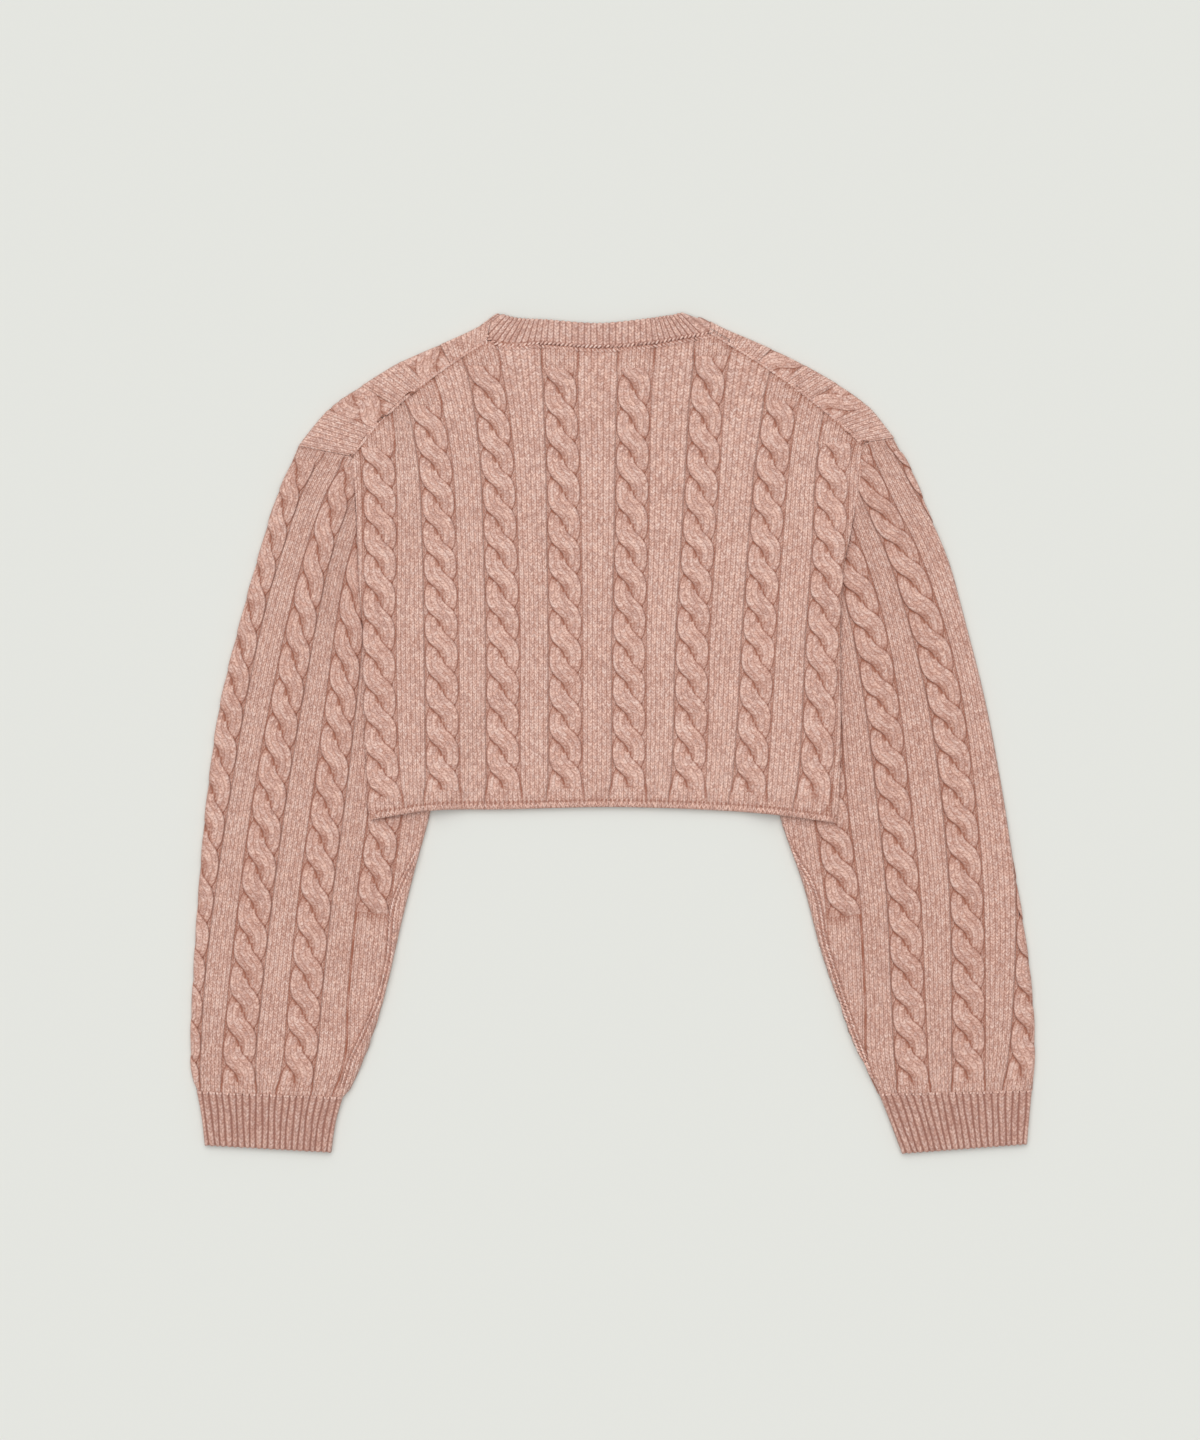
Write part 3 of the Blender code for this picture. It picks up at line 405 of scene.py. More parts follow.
# rope cables, knitted flat before they are laid
cable = {
    "pitch": 27.8,          # height of one crossing
    "stepsPerCrossing": 15,
    "offset": 6.4,          # of a strand's middle from the cable's middle
    "width": 15.3,
    "squeeze": 0.04,        # strands are wider as they cross than side by side
    "thickness": 4.2,
    "swing": 0.85,          # how far the strands rise and dip as they cross
    "level": 0.45,
    "sharpen": 0.08,        # above 0 they change places sooner than a wave
    "sectionPoints": 24,
    "slitShade": 4.3,       # how wide the shade is on the strand that goes under
    "slitRun": 17.5,        # and how far it runs along that strand
    "wideShade": 0.46,
    "thinShade": 1.2,       # the thin line on the other side
    "groundShade": 0.9,
}


def cableTree(material):
    # two strands that change places at each crossing, swept from a soft flat section
    numbers = ("From", "To", "First crossing", "Last crossing", "Pitch", "Offset", "Width", "Thickness",
               "Swing", "Level", "Sharpen")
    tree, given = newTree("ropeCable", numbers, ("Steps per crossing", "Section points"))
    start, end = [combine(tree, 0.0, given[key] * given["Pitch"]) for key in ("From", "To")]
    line = flow(tree, "GeometryNodeCurvePrimitiveLine", {0: start, 1: end})
    reach = given["To"] - given["From"]
    count = reach.calc("MULTIPLY_ADD", given["Steps per crossing"], 1.0)
    fine = flow(tree, "GeometryNodeResampleCurve", {"Curve": line, "Count": count})
    along = separate(tree, flow(tree, "GeometryNodeInputPosition"))[1]
    held = (along / given["Pitch"]).calc("MINIMUM", given["Last crossing"])
    held = held.calc("MAXIMUM", given["First crossing"])

    ring = flow(tree, "GeometryNodeCurvePrimitiveCircle",
                {"Resolution": given["Section points"], "Radius": 1.0})
    across, up, _ = separate(tree, flow(tree, "GeometryNodeInputPosition"))
    flat = up.calc("SIGN") * abs(up) ** 0.75 * (up.calc("LESS_THAN", 0.0) * -0.45 + 1.0)
    spot = combine(tree, across * (given["Width"] * 0.5), flat * (given["Thickness"] * 0.5))
    marked = storeValue(tree, ring, "across", across)
    section = flow(tree, "GeometryNodeSetPosition", {"Geometry": marked, "Position": spot})

    join = addNode(tree, "GeometryNodeJoinGeometry")
    for strand in (0.0, 1.0):
        turn = (held + strand) * math.pi
        sharp = turn.calc("COSINE") - (turn * 3.0).calc("COSINE") * given["Sharpen"]
        side = sharp / (1.0 - given["Sharpen"]) * given["Offset"]
        spot = combine(tree, side, along, turn.calc("SINE") * given["Swing"] + given["Level"])
        named = storeValue(tree, fine, "strand", strand)
        path = flow(tree, "GeometryNodeSetPosition", {"Geometry": named, "Position": spot})
        level = flow(tree, "GeometryNodeSetCurveNormal", {"Curve": path}, mode="Z_UP")
        inputs = {"Curve": level, "Profile Curve": section, "Fill Caps": True}
        feed(join, {0: flow(tree, "GeometryNodeCurveToMesh", inputs)})
    return finishTree(tree, Flow(join.outputs[0]), material)


ropeCable = cableTree(woolKnit)


def knitCable(start, end, first, last):
    # one cable, knitted flat: its points and faces, its crossing number and shade at each point
    holder = placeObject("flatCable", bpy.data.meshes.new("flatCable"))
    values = {"From": start, "To": end, "First crossing": first, "Last crossing": last,
              "Sharpen": cable["sharpen"], "Steps per crossing": cable["stepsPerCrossing"],
              "Section points": cable["sectionPoints"]}
    for key in ("pitch", "offset", "width", "thickness", "swing", "level"):
        values[key.capitalize()] = cable[key] * mm
    mesh = runTree(holder, ropeCable, values)
    count = len(mesh.vertices)
    points = np.zeros(count * 3)
    mesh.vertices.foreach_get("co", points)
    x, y, z = points.reshape(-1, 3).T / mm
    flat = {"y": y, "z": z, "crossing": y / cable["pitch"]}
    flat["faces"] = [list(face.vertices) for face in mesh.polygons]
    for key in ("across", "strand"):
        flat[key] = np.zeros(count)
        mesh.attributes[key].data.foreach_get("value", flat[key])
    bpy.data.objects.remove(holder)
    bpy.data.meshes.remove(mesh)
    turn = (np.clip(flat["crossing"], first, last) + flat["strand"]) * math.pi
    own = strandSide(turn)
    flat["x"] = own + (x - own) * (1.0 - cable["squeeze"] * np.cos(2 * turn))
    flat["paintedShade"] = slitShadePaint(flat["x"], z, turn)
    return flat


def strandSide(turn):
    sharpen = cable["sharpen"]
    return cable["offset"] * (np.cos(turn) - sharpen * np.cos(3 * turn)) / (1 - sharpen)


def slitShadePaint(x, z, turn):
    # painted shade beside the strand on top: wide on the one that goes under at the right, a thin line at
    # the left, and over low parts near the ground
    sharpen = cable["sharpen"]
    rise, side = np.sin(turn), np.cos(turn)
    slope = cable["offset"] * math.pi / cable["pitch"] * (rise - 3 * sharpen * np.sin(3 * turn))
    lean = np.sqrt(1.0 + (slope / (1 - sharpen)) ** 2)
    half = cable["width"] / 2 * lean * (1.0 - cable["squeeze"] * np.cos(2 * turn))
    own = strandSide(turn)
    clear = np.maximum(np.abs(x + own) - half, 0.0)
    drop = np.arctan2(side, rise) / math.pi * cable["pitch"]
    reach = cable["slitShade"] * np.sin(math.pi * np.clip((drop - 1.0) / cable["slitRun"], 0.0, 1.0)) ** 0.8
    wide = smoothStep((reach - np.where(rise > 0.0, x - own + half, clear)) / 2.2 + 0.5)
    thin = smoothStep((0.2 - rise) / 0.4) * np.exp(-(clear / np.where(side > 0, 1.3, 1.9)) ** 2)
    low = 1.0 - smoothStep((z + 0.2) / 1.3)
    slit = np.maximum(cable["wideShade"] * wide * smoothStep(reach / 2.0), cable["thinShade"] * thin)
    return np.maximum(slit, cable["groundShade"] * low)


def cablePart(flat, x, y, z, paintedShade, shown):
    # a laid cable as a part of a mesh, with the faces that have a corner to show
    wale = 1.5 + 1.5 * flat["across"] + 7.0 * flat["strand"]
    purl = np.full(len(x), 0.3)
    return {
        "points": np.stack((x, y, z), axis=-1),
        "faces": [face for face in flat["faces"] if max(shown[corner] for corner in face) > 0.01],
        "stitch": np.stack((wale, flat["crossing"] * knit["rowsPerCrossing"], purl), axis=-1),
        "paintedShade": paintedShade,
    }


body = {
    "firstCrossing": -45.0,          # level of the lowest crossing
    "pitch": 27.8,
    "flatAtHem": (-41.0, -56.0),     # cables are left uncrossed from the first level to the second
    "flatAtSeam": (24.0, 14.0),      # and from so far below the seam to so far
    "hemLevel": -64.0,
    "topLevel": 345.0,
    "droopFrom": 80.0,               # rows start to follow the hem's curve below this level
    "hemBand": 8.0,
    "sideLeft": ((-221, 235), (-217, 181), (-215, 130), (-210, 71), (-209, -6), (-205, -57), (-201, -73)),
    "sideRight": ((211, 246), (211, 224), (203, 175), (195, 136), (193, 79), (193, -6), (190, -57),
                  (187, -76)),
    "hem": ((-201, -73), (-155, -66), (-96, -65), (6, -63), (74, -65), (134, -69), (187, -76)),
    "hemEnds": (-215, 205),
    "seam": ((-221, 235), (-198, 263), (-172, 287), (-136, 314), (-106, 333), (-57, 329), (-11, 326),
             (32, 329), (66, 335), (84, 339), (125, 314), (159, 290), (189, 266), (211, 246)),
    "neckEnds": (-108.0, 86.0),
    "levels": (334, 283, 232, 164, 79, -6, -66),
    "cables": (
        (-210, -204, -199, -197, -198, -196, -192),
        (-181, -161, -151, -147, -145, -144, -144),
        (-115, -104, -98, -95, -93, -93, -92),
        (-45, -44, -42, -41, -40, -40, -40),
        (21, 18, 17, 16, 14, 14, 13),
        (86, 80, 77, 73, 68, 66, 63),
        (158, 144, 136, 130, 124, 119, 114),
        (210, 198, 188, 184, 178, 174, 168),
    ),
    "crossingNumbers": (0, 4, 8, 12),
    "crossings": (                   # levels at which each cable reaches those crossings
        (-50, 55, 168, 270), (-46, 64, 168, 279), (-45, 64, 175, 284), (-44, 64, 176, 288),
        (-44, 65, 177, 291), (-45, 67, 177, 291), (-44, 66, 177, 287), (-40, 74, 180, 286),
    ),
    "lastCrossings": (11, 12, 13, 13, 13, 13, 12, 11),
    "seamGap": -0.3,
    "underStrip": 1.8,               # how far the back reaches in under the shoulder strips
    "dipUnderStrip": 1.2,
    "pinch": 0.1,
    "rowStep": 5.56,
    "hemRise": 0.9,
    "hemShade": 0.45,
    "hemShadeAt": 3.2,
    "hemShadeWidth": 2.6,
    "seamShade": 0.95,               # beside the strips, and less so beside the neckband
    "neckShade": 0.55,
    "seamShadeWidth": 3.2,
}

# how far in under the body the folded sleeves reach, and how the body climbs over them
cover = {
    "left": ((-217, 235), (-215, 181), (-212, 160), (-191, 126), (-163, 79), (-136, 28), (-146, -20),
             (-156, -68), (-168, -112)),
    "right": ((210, 246), (200, 175), (194, 157), (178, 122), (151, 71), (123, 18), (132, -26), (142, -70),
              (164, -133)),
    "plateau": 4.0,
    "ramp": 32.0,
    "climb": 6.5,
    "full": 166.0,
    "none": 196.0,
}

# soft ridges and troughs: both ends, half width and height
creases = (
    ((-190, 120), (-96, 26), 17.0, 0.9), ((-182, 92), (-110, 22), 13.0, -0.7),
    ((-60, -34), (70, -26), 15.0, 0.7), ((186, 128), (112, 52), 18.0, 0.9),
    ((176, 88), (120, 20), 13.0, -0.7), ((-70, 262), (36, 274), 20.0, 0.8),
    ((-160, -22), (-90, -36), 14.0, -0.6), ((60, 150), (96, 236), 16.0, 0.6),
    ((-130, 232), (-104, 150), 15.0, 0.6), ((96, -30), (166, -16), 13.0, 0.6),
    ((-20, 120), (40, 90), 22.0, -0.5), ((-232, 206), (-262, 96), 11.0, 1.1),
    ((-246, 196), (-283, 88), 9.0, -0.8), ((-300, 60), (-250, 20), 13.0, 0.8),
    ((-336, -96), (-262, -128), 15.0, 0.8), ((-250, -212), (-318, -196), 14.0, -0.7),
    ((-196, -96), (-236, -30), 11.0, 0.8), ((222, 206), (262, 100), 11.0, 1.1),
    ((246, 190), (284, 82), 9.0, -0.8), ((236, 58), (300, 30), 13.0, 0.8),
    ((256, -94), (338, -126), 15.0, 0.7), ((244, -204), (322, -226), 13.0, -0.7),
    ((182, -88), (218, -30), 11.0, 0.8),
)

sideLeft, sideRight = byLevel(body["sideLeft"]), byLevel(body["sideRight"])
reachLeft, reachRight = byLevel(cover["left"]), byLevel(cover["right"])
hemCurve = smoothCurve(*zip(*body["hem"]))


def hemAt(x):
    return hemCurve(np.clip(x, *body["hemEnds"]))


def seamAt(x):
    return np.interp(x, *zip(*body["seam"]))


def liftAt(x, y):
    clear = np.minimum(x - reachLeft(y), reachRight(y) - x)
    over = 1.0 - smoothStep((clear - cover["plateau"]) / cover["ramp"])
    return cover["climb"] * over * smoothStep((cover["none"] - y) / (cover["none"] - cover["full"]))


def creaseAt(x, y):
    height = 0.0
    for start, end, reach, rise in creases:
        height = height + rise * np.exp(-(signedDistance(x, y, (start, end)) / reach) ** 2)
    return height


def topOfBack(x, y):
    return topOfTwo + liftAt(x, y) + creaseAt(x, y)


def droopAt(x, level):
    sag = hemAt(x) - body["hemLevel"]
    return sag * smoothStep((body["droopFrom"] - level) / (body["droopFrom"] - body["hemLevel"]))


def waleRelief(wales):
    # height of a plain rib at so many wales from its edge, and less so beyond it
    left = knit["ribWales"] - wales
    inside = smoothStep((wales + 0.26) / 0.4) * smoothStep((left + 0.26) / 0.4)
    ripple = knit["waleRipple"] * np.cos(2 * math.pi * (wales - 0.5))
    edge = np.exp(-((wales - 0.45) / 0.45) ** 2) + np.exp(-((left - 0.45) / 0.45) ** 2)
    return inside * (knit["ribRise"] + ripple + knit["ribCurl"] * edge)


# the ground at a cable, whose shade is darkest in the gutters and less so between the strands
ground = {
    "offsets": (-14.5, -13.8, -13.0, -12.0, -6.5, -2.0, 2.0, 6.5, 12.0, 13.0, 13.8, 14.5),
    "shadePlaces": (0.0, 2.0, 6.5, 12.6, 13.8, 14.5, 15.1),
    "shadeDepths": (0.95, 0.9, 0.4, 0.55, 1.0, 0.5, 0.0),
    "shadeMean": 0.82,
    "shadeSwing": 0.32,     # with the strands' bulges
    "shadeUneven": 0.12,
    "endFrom": 9.0,         # on the outer side of the last cable its gutter starts here
    "endGutter": 13.8,
    "half": 13.4,           # where a cable is left uncrossed, this much is level
    "levelRise": 0.9,
    "flare": 1.6,
    "flareAt": 14.0,
    "flareWidth": 4.0,
    "pinchFrom": 12.0,      # gutters are made narrower from here on
    "pinchReach": 3.2,
    "pinchEnd": 27.0,
    "pinchFade": 11.8,
}


def gutterShadePaint(offset):
    # painted shade at this offset from a cable's middle
    return float(np.interp(abs(offset), ground["shadePlaces"], ground["shadeDepths"]))


# Each column of a net is its place, wale, height, painted shade and offset from its cable.

def ribColumns(left, right, firstWale, scale=1.0):
    # a plain rib between two cables
    start, end = left + ribEdge * scale, right - ribEdge * scale
    columns = []
    for share in np.arange(0.0, knit["ribWales"] + 0.5, 0.5):
        x = start + (end - start) * share / knit["ribWales"]
        nearest = left if share < knit["ribWales"] / 2 else right
        columns.append((x, firstWale + share, waleRelief(share), 0.0, (x - nearest) / scale))
    return columns


def cableColumns(centre, firstWale, offsets=ground["offsets"], scale=1.0):
    # the ground at and beside a cable
    columns = []
    for offset in offsets:
        wale = firstWale + 3 + offset / knit["waleWidth"]
        rise = waleRelief((abs(offset) - ribEdge) / knit["waleWidth"])
        columns.append((centre + offset * scale, wale, rise, gutterShadePaint(offset), offset))
    return columns


def endColumns(centre, side, direction, firstWale):
    # from the last cable's gutter to the panel's side
    start = centre + direction * ground["endFrom"]
    columns = []
    for share in (0.4, 0.7, 0.86, 0.95, 1.0):
        place = start + (side - start) * share
        away = np.abs(place - centre)
        beyond = (away - ribEdge) / knit["waleWidth"]
        # painted shade in the last gutter
        shadePaint = 1.0 - smoothStep((away - ground["endGutter"]) / 1.6)
        columns.append((place, firstWale + direction * beyond, waleRelief(beyond), shadePaint, place - centre))
    return columns


def stackColumns(columns, shape):
    # the columns as arrays of that shape
    return [np.stack([np.broadcast_to(column[i], shape) for column in columns], axis=-1) for i in range(5)]


def shapeGround(x, rise, paintedShade, offset, flat, crossing, pinch, puff):
    # painted shade in the gutters is darkest where a strand bulges, and an uncrossed cable is level and
    # wider
    away = np.abs(offset)
    swing = ground["shadeSwing"] * np.cos(2 * math.pi * crossing)
    uneven = ground["shadeUneven"] * np.sin(crossing * 2.3 + x / 19.0)
    paintedShade = paintedShade * (ground["shadeMean"] + swing + uneven)
    inside = smoothStep((ground["half"] - away) / 0.8) * flat
    level = ground["levelRise"] * knit["ribRise"] + puff * (1.0 - (away / ground["half"]) ** 2)
    rise = rise + inside * (level - rise)
    paintedShade = paintedShade * (1.0 - 0.95 * np.sqrt(inside)) * (1.0 + 0.15 * flat)
    push = ground["flare"] * flat * np.exp(-((away - ground["flareAt"]) / ground["flareWidth"]) ** 2)
    pinched = pinch * np.clip(away - ground["pinchFrom"], 0.0, ground["pinchReach"])
    push = push - pinched * smoothStep((ground["pinchEnd"] - away) / ground["pinchFade"])
    return x + np.sign(offset) * push, rise, paintedShade


def uncrossed(x, level):
    # how far a cable at that place is left uncrossed, before the hem and the seam
    start, full = body["flatAtHem"]
    below = (start - level) / (start - full)
    start, full = body["flatAtSeam"]
    above = (start - seamAt(x) + level) / (start - full)
    return np.maximum(below, above)


def risen(share):
    # where a cable ends the ground comes up first
    return smoothStep(share / 0.65)


def sunk(share):
    # and then its strands go down into it
    return smoothStep((share - 0.35) / 0.65)


def makeBack():
    paths = [smoothCurve(body["levels"], places) for places in body["cables"]]
    climbs = [smoothCurve(body["crossingNumbers"], levels) for levels in body["crossings"]]
    numbers = np.arange(-2.0, 18.0, 0.5)
    hem, gap = body["hemLevel"], body["seamGap"]
    levels = np.concatenate((hem + edgeSteps, np.arange(hem + 5.0, body["topLevel"], body["rowStep"])))
    centres = [path(levels) for path in paths]
    columns = endColumns(centres[0], sideLeft(levels) + gap, -1.0, -1.0)[::-1]
    for number, centre in enumerate(centres):
        wale = number * knit["repeat"]
        low, high = 4 if number == 0 else 0, 8 if number == 7 else 12
        columns += cableColumns(centre, wale, ground["offsets"][low:high])
        if number + 1 < len(centres):
            columns += ribColumns(centre, centres[number + 1], wale + 7.0)
    columns += endColumns(centres[-1], sideRight(levels) - gap, 1.0, 112.0)
    x, wale, rise, paintedShade, offset = stackColumns(columns, levels.shape)

    level = np.broadcast_to(levels[:, None], x.shape)
    crossing = np.zeros(x.shape)
    for path, climb in zip(paths, climbs):
        own = np.abs(x - offset - path(level)) < 1.0
        crossing = np.where(own, np.interp(level, climb(numbers), numbers), crossing)
    flat = risen(uncrossed(x - offset, level))
    puff = smoothStep((level - hem - 4.0) / 6.0)
    x, rise, paintedShade = shapeGround(x, rise, paintedShade, offset, flat, crossing, body["pinch"], puff)
    fromTop = np.arange(len(levels))[::-1]
    margin = np.interp(fromTop, range(len(edgeSteps)), edgeSteps) + 0.004 * fromTop
    atNeck = (x > body["neckEnds"][0]) & (x < body["neckEnds"][1])
    top = seamAt(x) + np.where(atNeck, 0.3, body["underStrip"])
    y = np.minimum(level + droopAt(x, level), top - margin[:, None])
    fromSide = np.minimum(x - sideLeft(y), sideRight(y) - x)
    y = np.maximum(y, hemAt(x))
    fromSeam = (top - y) * 0.85
    fromHem = y - hemAt(x)
    edge = np.minimum(np.minimum(fromSeam, fromHem), np.maximum(fromSide, 0.0))
    band = smoothStep((fromHem - body["hemBand"]) / 2.0)
    rise = rise * band + body["hemRise"] * (1.0 - band)
    # painted shade along the hem band and beside the seams
    fromShade = (fromHem - body["hemShadeAt"]) / body["hemShadeWidth"]
    paintedShade = paintedShade * band + body["hemShade"] * np.exp(-fromShade ** 2)
    seamShade = np.where(atNeck, body["neckShade"], body["seamShade"])
    paintedShade = np.maximum(paintedShade, seamShade * np.exp(-(fromSeam / body["seamShadeWidth"]) ** 2))
    z = topOfBack(x, y) + rise - edgeDropAt(edge) * np.where(fromSeam < 2.0, 0.4, 1.0)
    z = z - np.where(atNeck, 0.0, body["dipUnderStrip"]) * (1.0 - smoothStep(fromSeam / 2.0))
    row = (y - body["firstCrossing"]) / body["pitch"] * knit["rowsPerCrossing"]
    shell = makeShell("backKnit", [gridPart(x, y, z, wale, row, paintedShade)], woolKnit, knit["shell"])

    laid = []
    for path, climb, last in zip(paths, climbs, body["lastCrossings"]):
        flat = knitCable(-0.5, last + 0.2, 0.0, last)
        level = climb(flat["crossing"])
        x = path(level)
        firm = 1.0 - sunk(uncrossed(x, level))
        x = x + flat["x"]
        y = level + droopAt(x, level)
        z = topOfBack(x, y) + flat["z"] * firm - knit["sunkEnd"] * (1.0 - firm)
        laid.append(cablePart(flat, x, y, z, flat["paintedShade"], np.minimum(firm, seamAt(x) - 2.0 - y)))
    return shell, makeShell("backCables", laid, woolKnit)


backKnit, backCables = makeBack()
finishPiece(backKnit, "back_panel")
finishPiece(backCables)
print("back is knitted")

sleeves = {
    "sleeveLeft": {
        "node": "sleeve_left", "side": -1.0, "shade": 0.07,
        # crossing, level, slope, then the four cables, outer edge first
        "rows": (
            (-0.8, -305.9, -0.04, -365, -317, -271, -223),
            (0.0, -282, 0.00, -364, -317, -266, -215),
            (2.0, -224, -0.05, -361, -312, -261, -211),
            (5.0, -136, -0.07, -351, -302, -252, -203),
            (8.0, -44, -0.14, -336, -289, -240, -192),
            (11.0, 45, -0.20, -319, -273, -229, -186),
            (13.0, 105, -0.27, -304, -261, -222, -182),
            (14.5, 150, -0.25, -290, -250, -214, -176),
            (16.0, 196, -0.20, -275, -234, -198, -159),
            (17.5, 235, -0.20, -255, -213, -176, -138),
        ),
        "outer": ((-247, 300), (-266, 244), (-283, 205), (-301, 147), (-317, 89), (-332, 28), (-343, -48),
                  (-350, -125), (-355, -201), (-357.5, -261), (-357, -286), (-353, -306)),
        "inner": ((-75, 300), (-104, 150), (-121, 80), (-136, 28), (-155, -68), (-167, -112), (-179, -159),
                  (-194, -223), (-208, -269), (-217, -290), (-223, -302), (-229.5, -310)),
        "armhole": ((-320, 241.5), (-266, 244.9), (-219.3, 237.6), (-219, 208), (-217.3, 181),
                    (-216.3, 160), (-195, 126), (-167, 79), (-139, 28), (0, 28)),
    },
    "sleeveRight": {
        "node": "sleeve_right", "side": 1.0, "shade": 0.095,
        "rows": (
            (-0.8, -304.8, 0.023, 345, 302, 256, 212),
            (0.0, -278, 0.10, 350, 302, 254, 204),
            (2.0, -220, 0.10, 355, 302, 251, 201),
            (5.0, -132, 0.13, 356, 300, 247, 196),
            (8.0, -42, 0.17, 346, 292, 238, 185),
            (11.0, 47, 0.22, 329, 278, 227, 178),
            (13.0, 107, 0.27, 312, 262, 216, 172),
            (14.5, 153, 0.28, 293, 246, 203, 162),
            (16.0, 193, 0.22, 271, 227, 187, 147),
            (17.5, 236, 0.15, 248, 208, 170, 132),
        ),
        "outer": ((214, 300), (238, 251), (252.5, 225), (267, 190), (282, 154), (301, 88), (316, 28),
                  (329.5, -44), (340, -108), (348.5, -163), (355, -214), (358, -265), (357.5, -286),
                  (356, -306)),
        "inner": ((50, 300), (92, 150), (108, 80), (123, 18), (142, -70), (163.5, -133), (177, -184),
                  (193, -231), (204, -262), (218, -290), (228.5, -312)),
        "armhole": ((300, 248.5), (238.5, 252.1), (209.3, 248.6), (211.0, 224), (203.3, 175), (199, 158),
                    (182, 122), (155, 71), (127, 18), (0, 18)),
    },
}

sleeveKnit = {
    "innerCableFrom": 4.3,       # the inner cable begins above this crossing
    "crossingHeight": 29.0,
    "rowStep": 0.2,
    "firstRow": -0.8,
    "topRow": 19.0,
    "innerWales": 17,
    "outerWales": 4,
    "clearOfBody": -2.0,
    "coverFade": 3.0,
    "phase": 0.45,               # cables cross so far before each numbered row
    "flatAtWrist": (-0.3, -0.75),
    "flatAtStrip": 11.0,         # and this near the shoulder's strip
    "pinch": 0.2,
    "gutterShade": 1.2,
    "fullSpacing": 49.0,         # where cables lie closer they are narrower
    "reliefUnderBody": 0.3,
    "cablesUnderBody": 0.1,
    "wristShade": 0.15,
}


def bodyCover(x, y, side, least):
    # the least share of relief where the body lies on the sleeve, 1 well clear of it
    beside = sideLeft(y) - x if side < 0 else x - sideRight(y)
    below = body["hem"][0 if side < 0 else -1][1] - y
    clear = (np.maximum(beside, below) - sleeveKnit["clearOfBody"]) / sleeveKnit["coverFade"]
    return least + (1.0 - least) * smoothStep(clear)


def sleeveLay(plan):
    # how a flat place on the sleeve, out from the body and by knit row, comes to lie
    side = plan["side"]
    rows = np.array(plan["rows"], float)
    level, slope, outer, second, third, inner = [smoothCurve(rows[:, 0], rows[:, i]) for i in range(1, 7)]
    outerFold, innerFold = byLevel(plan["outer"]), byLevel(plan["inner"])

    def levelAt(x, row):
        return level(row) + slope(row) * (x - second(row))

    def folds(row):
        found = []
        for fold in (outerFold, innerFold):
            x = fold(level(row))
            for _ in range(12):
                x = fold(levelAt(x, row))
            found.append(x * side)
        return found

    def lay(out, row, height):
        outerAt, innerAt = folds(row)
        outside = out > (outerAt + innerAt) / 2
        outerAt, innerAt = outerAt - foldRadius, innerAt + foldRadius
        forward, z = wrapFold(np.where(outside, out - outerAt, innerAt - out), height)
        x = np.where(outside, outerAt + forward, innerAt - forward) * side
        y = levelAt(x, row)
        return x, y, z + aboveFold(z) * creaseAt(x, y)

    def scale(row):
        spacing = np.abs(outer(row) - inner(row)) / 3.0
        return np.clip(spacing / sleeveKnit["fullSpacing"], 0.7, 1.0)

    def nearStrip(x, y):
        away = np.abs(signedDistance(x, y, plan["armhole"][:3]))
        return 1.0 - smoothStep((away - sleeveKnit["flatAtStrip"]) / 4.0)

    cables = [lambda row, curve=curve: curve(row) * side for curve in (inner, third, second, outer)]
    return lay, folds, cables, scale, nearStrip


def trimRows(x, y, z, row, line, side):
    # stops each column of a net where it meets a line, with close rows just before it
    clear = signedDistance(x, y, line) * -side
    bad = clear < 0
    rows = x.shape[0]
    first = np.where(bad.any(axis=0), bad.argmax(axis=0), rows)
    column = np.arange(x.shape[1])
    low = np.clip(first - 1, 0, rows - 2)

    def across(values):
        return values[low + 1, column] - values[low, column]

    share = clear[low, column] / np.maximum(-across(clear), 1e-6)
    share = np.where(first < rows, np.clip(share, 0.0, 1.0), 1.0)
    index = np.arange(rows)[:, None] - first[None, :]
    back = edgeSteps[::-1][np.clip(index, 0, len(edgeSteps) - 1)]
    part = np.clip(share - back / np.maximum(np.hypot(across(x), across(y)), 0.5), 0.0, 1.0)
    past = index >= 0
    cut = [np.where(past, values[low, column] + across(values) * part, values) for values in (x, y, z, row)]
    return (*cut, np.where(past, back, 9.0))


def pullBack(x, y, line, side):
    # moves points that are past a line back onto it
    keep = signedDistance(x, y, line) * -side
    step = 0.05
    alongX = (signedDistance(x + step, y, line) * -side - keep) / step
    alongY = (signedDistance(x, y + step, line) * -side - keep) / step
    back = np.where(keep < 0, -keep, 0.0)
    return x + alongX * back, y + alongY * back, keep


def sleeveColumns(cables, rows, small):
    # the whole upper side, from the inner fold out
    centres = [path(rows) for path in cables]
    columns = []
    for share in np.arange(sleeveKnit["innerWales"], -0.5, -0.5):
        place = centres[0] - ribEdge * small - share * knit["waleWidth"]
        columns.append((place, -share, waleRelief(min(share, 3.0)), 0.0, -99.0))
    shown = smoothStep((rows - sleeveKnit["innerCableFrom"]) / 0.6)
    for number, centre in enumerate(centres):
        wale = 1.0 + number * knit["repeat"]
        found = cableColumns(centre, wale, scale=small)
        if number == 0:      # knitted plain below the inner cable, but for the gutter beside it
            found[:-3] = [(place, at, rise * shown + (1 - shown) * knit["ribRise"], shadePaint * shown, offset)
                          for place, at, rise, shadePaint, offset in found[:-3]]
        columns += found
        if number < 3:
            columns += ribColumns(centre, centres[number + 1], wale + 7.0, small)
    for share in np.arange(0.0, sleeveKnit["outerWales"] + 0.5, 0.5):
        place = centres[-1] + ribEdge * small + share * knit["waleWidth"]
        columns.append((place, 53.0 + share, waleRelief(share), 0.0, 99.0))
    return stackColumns(columns, rows.shape)


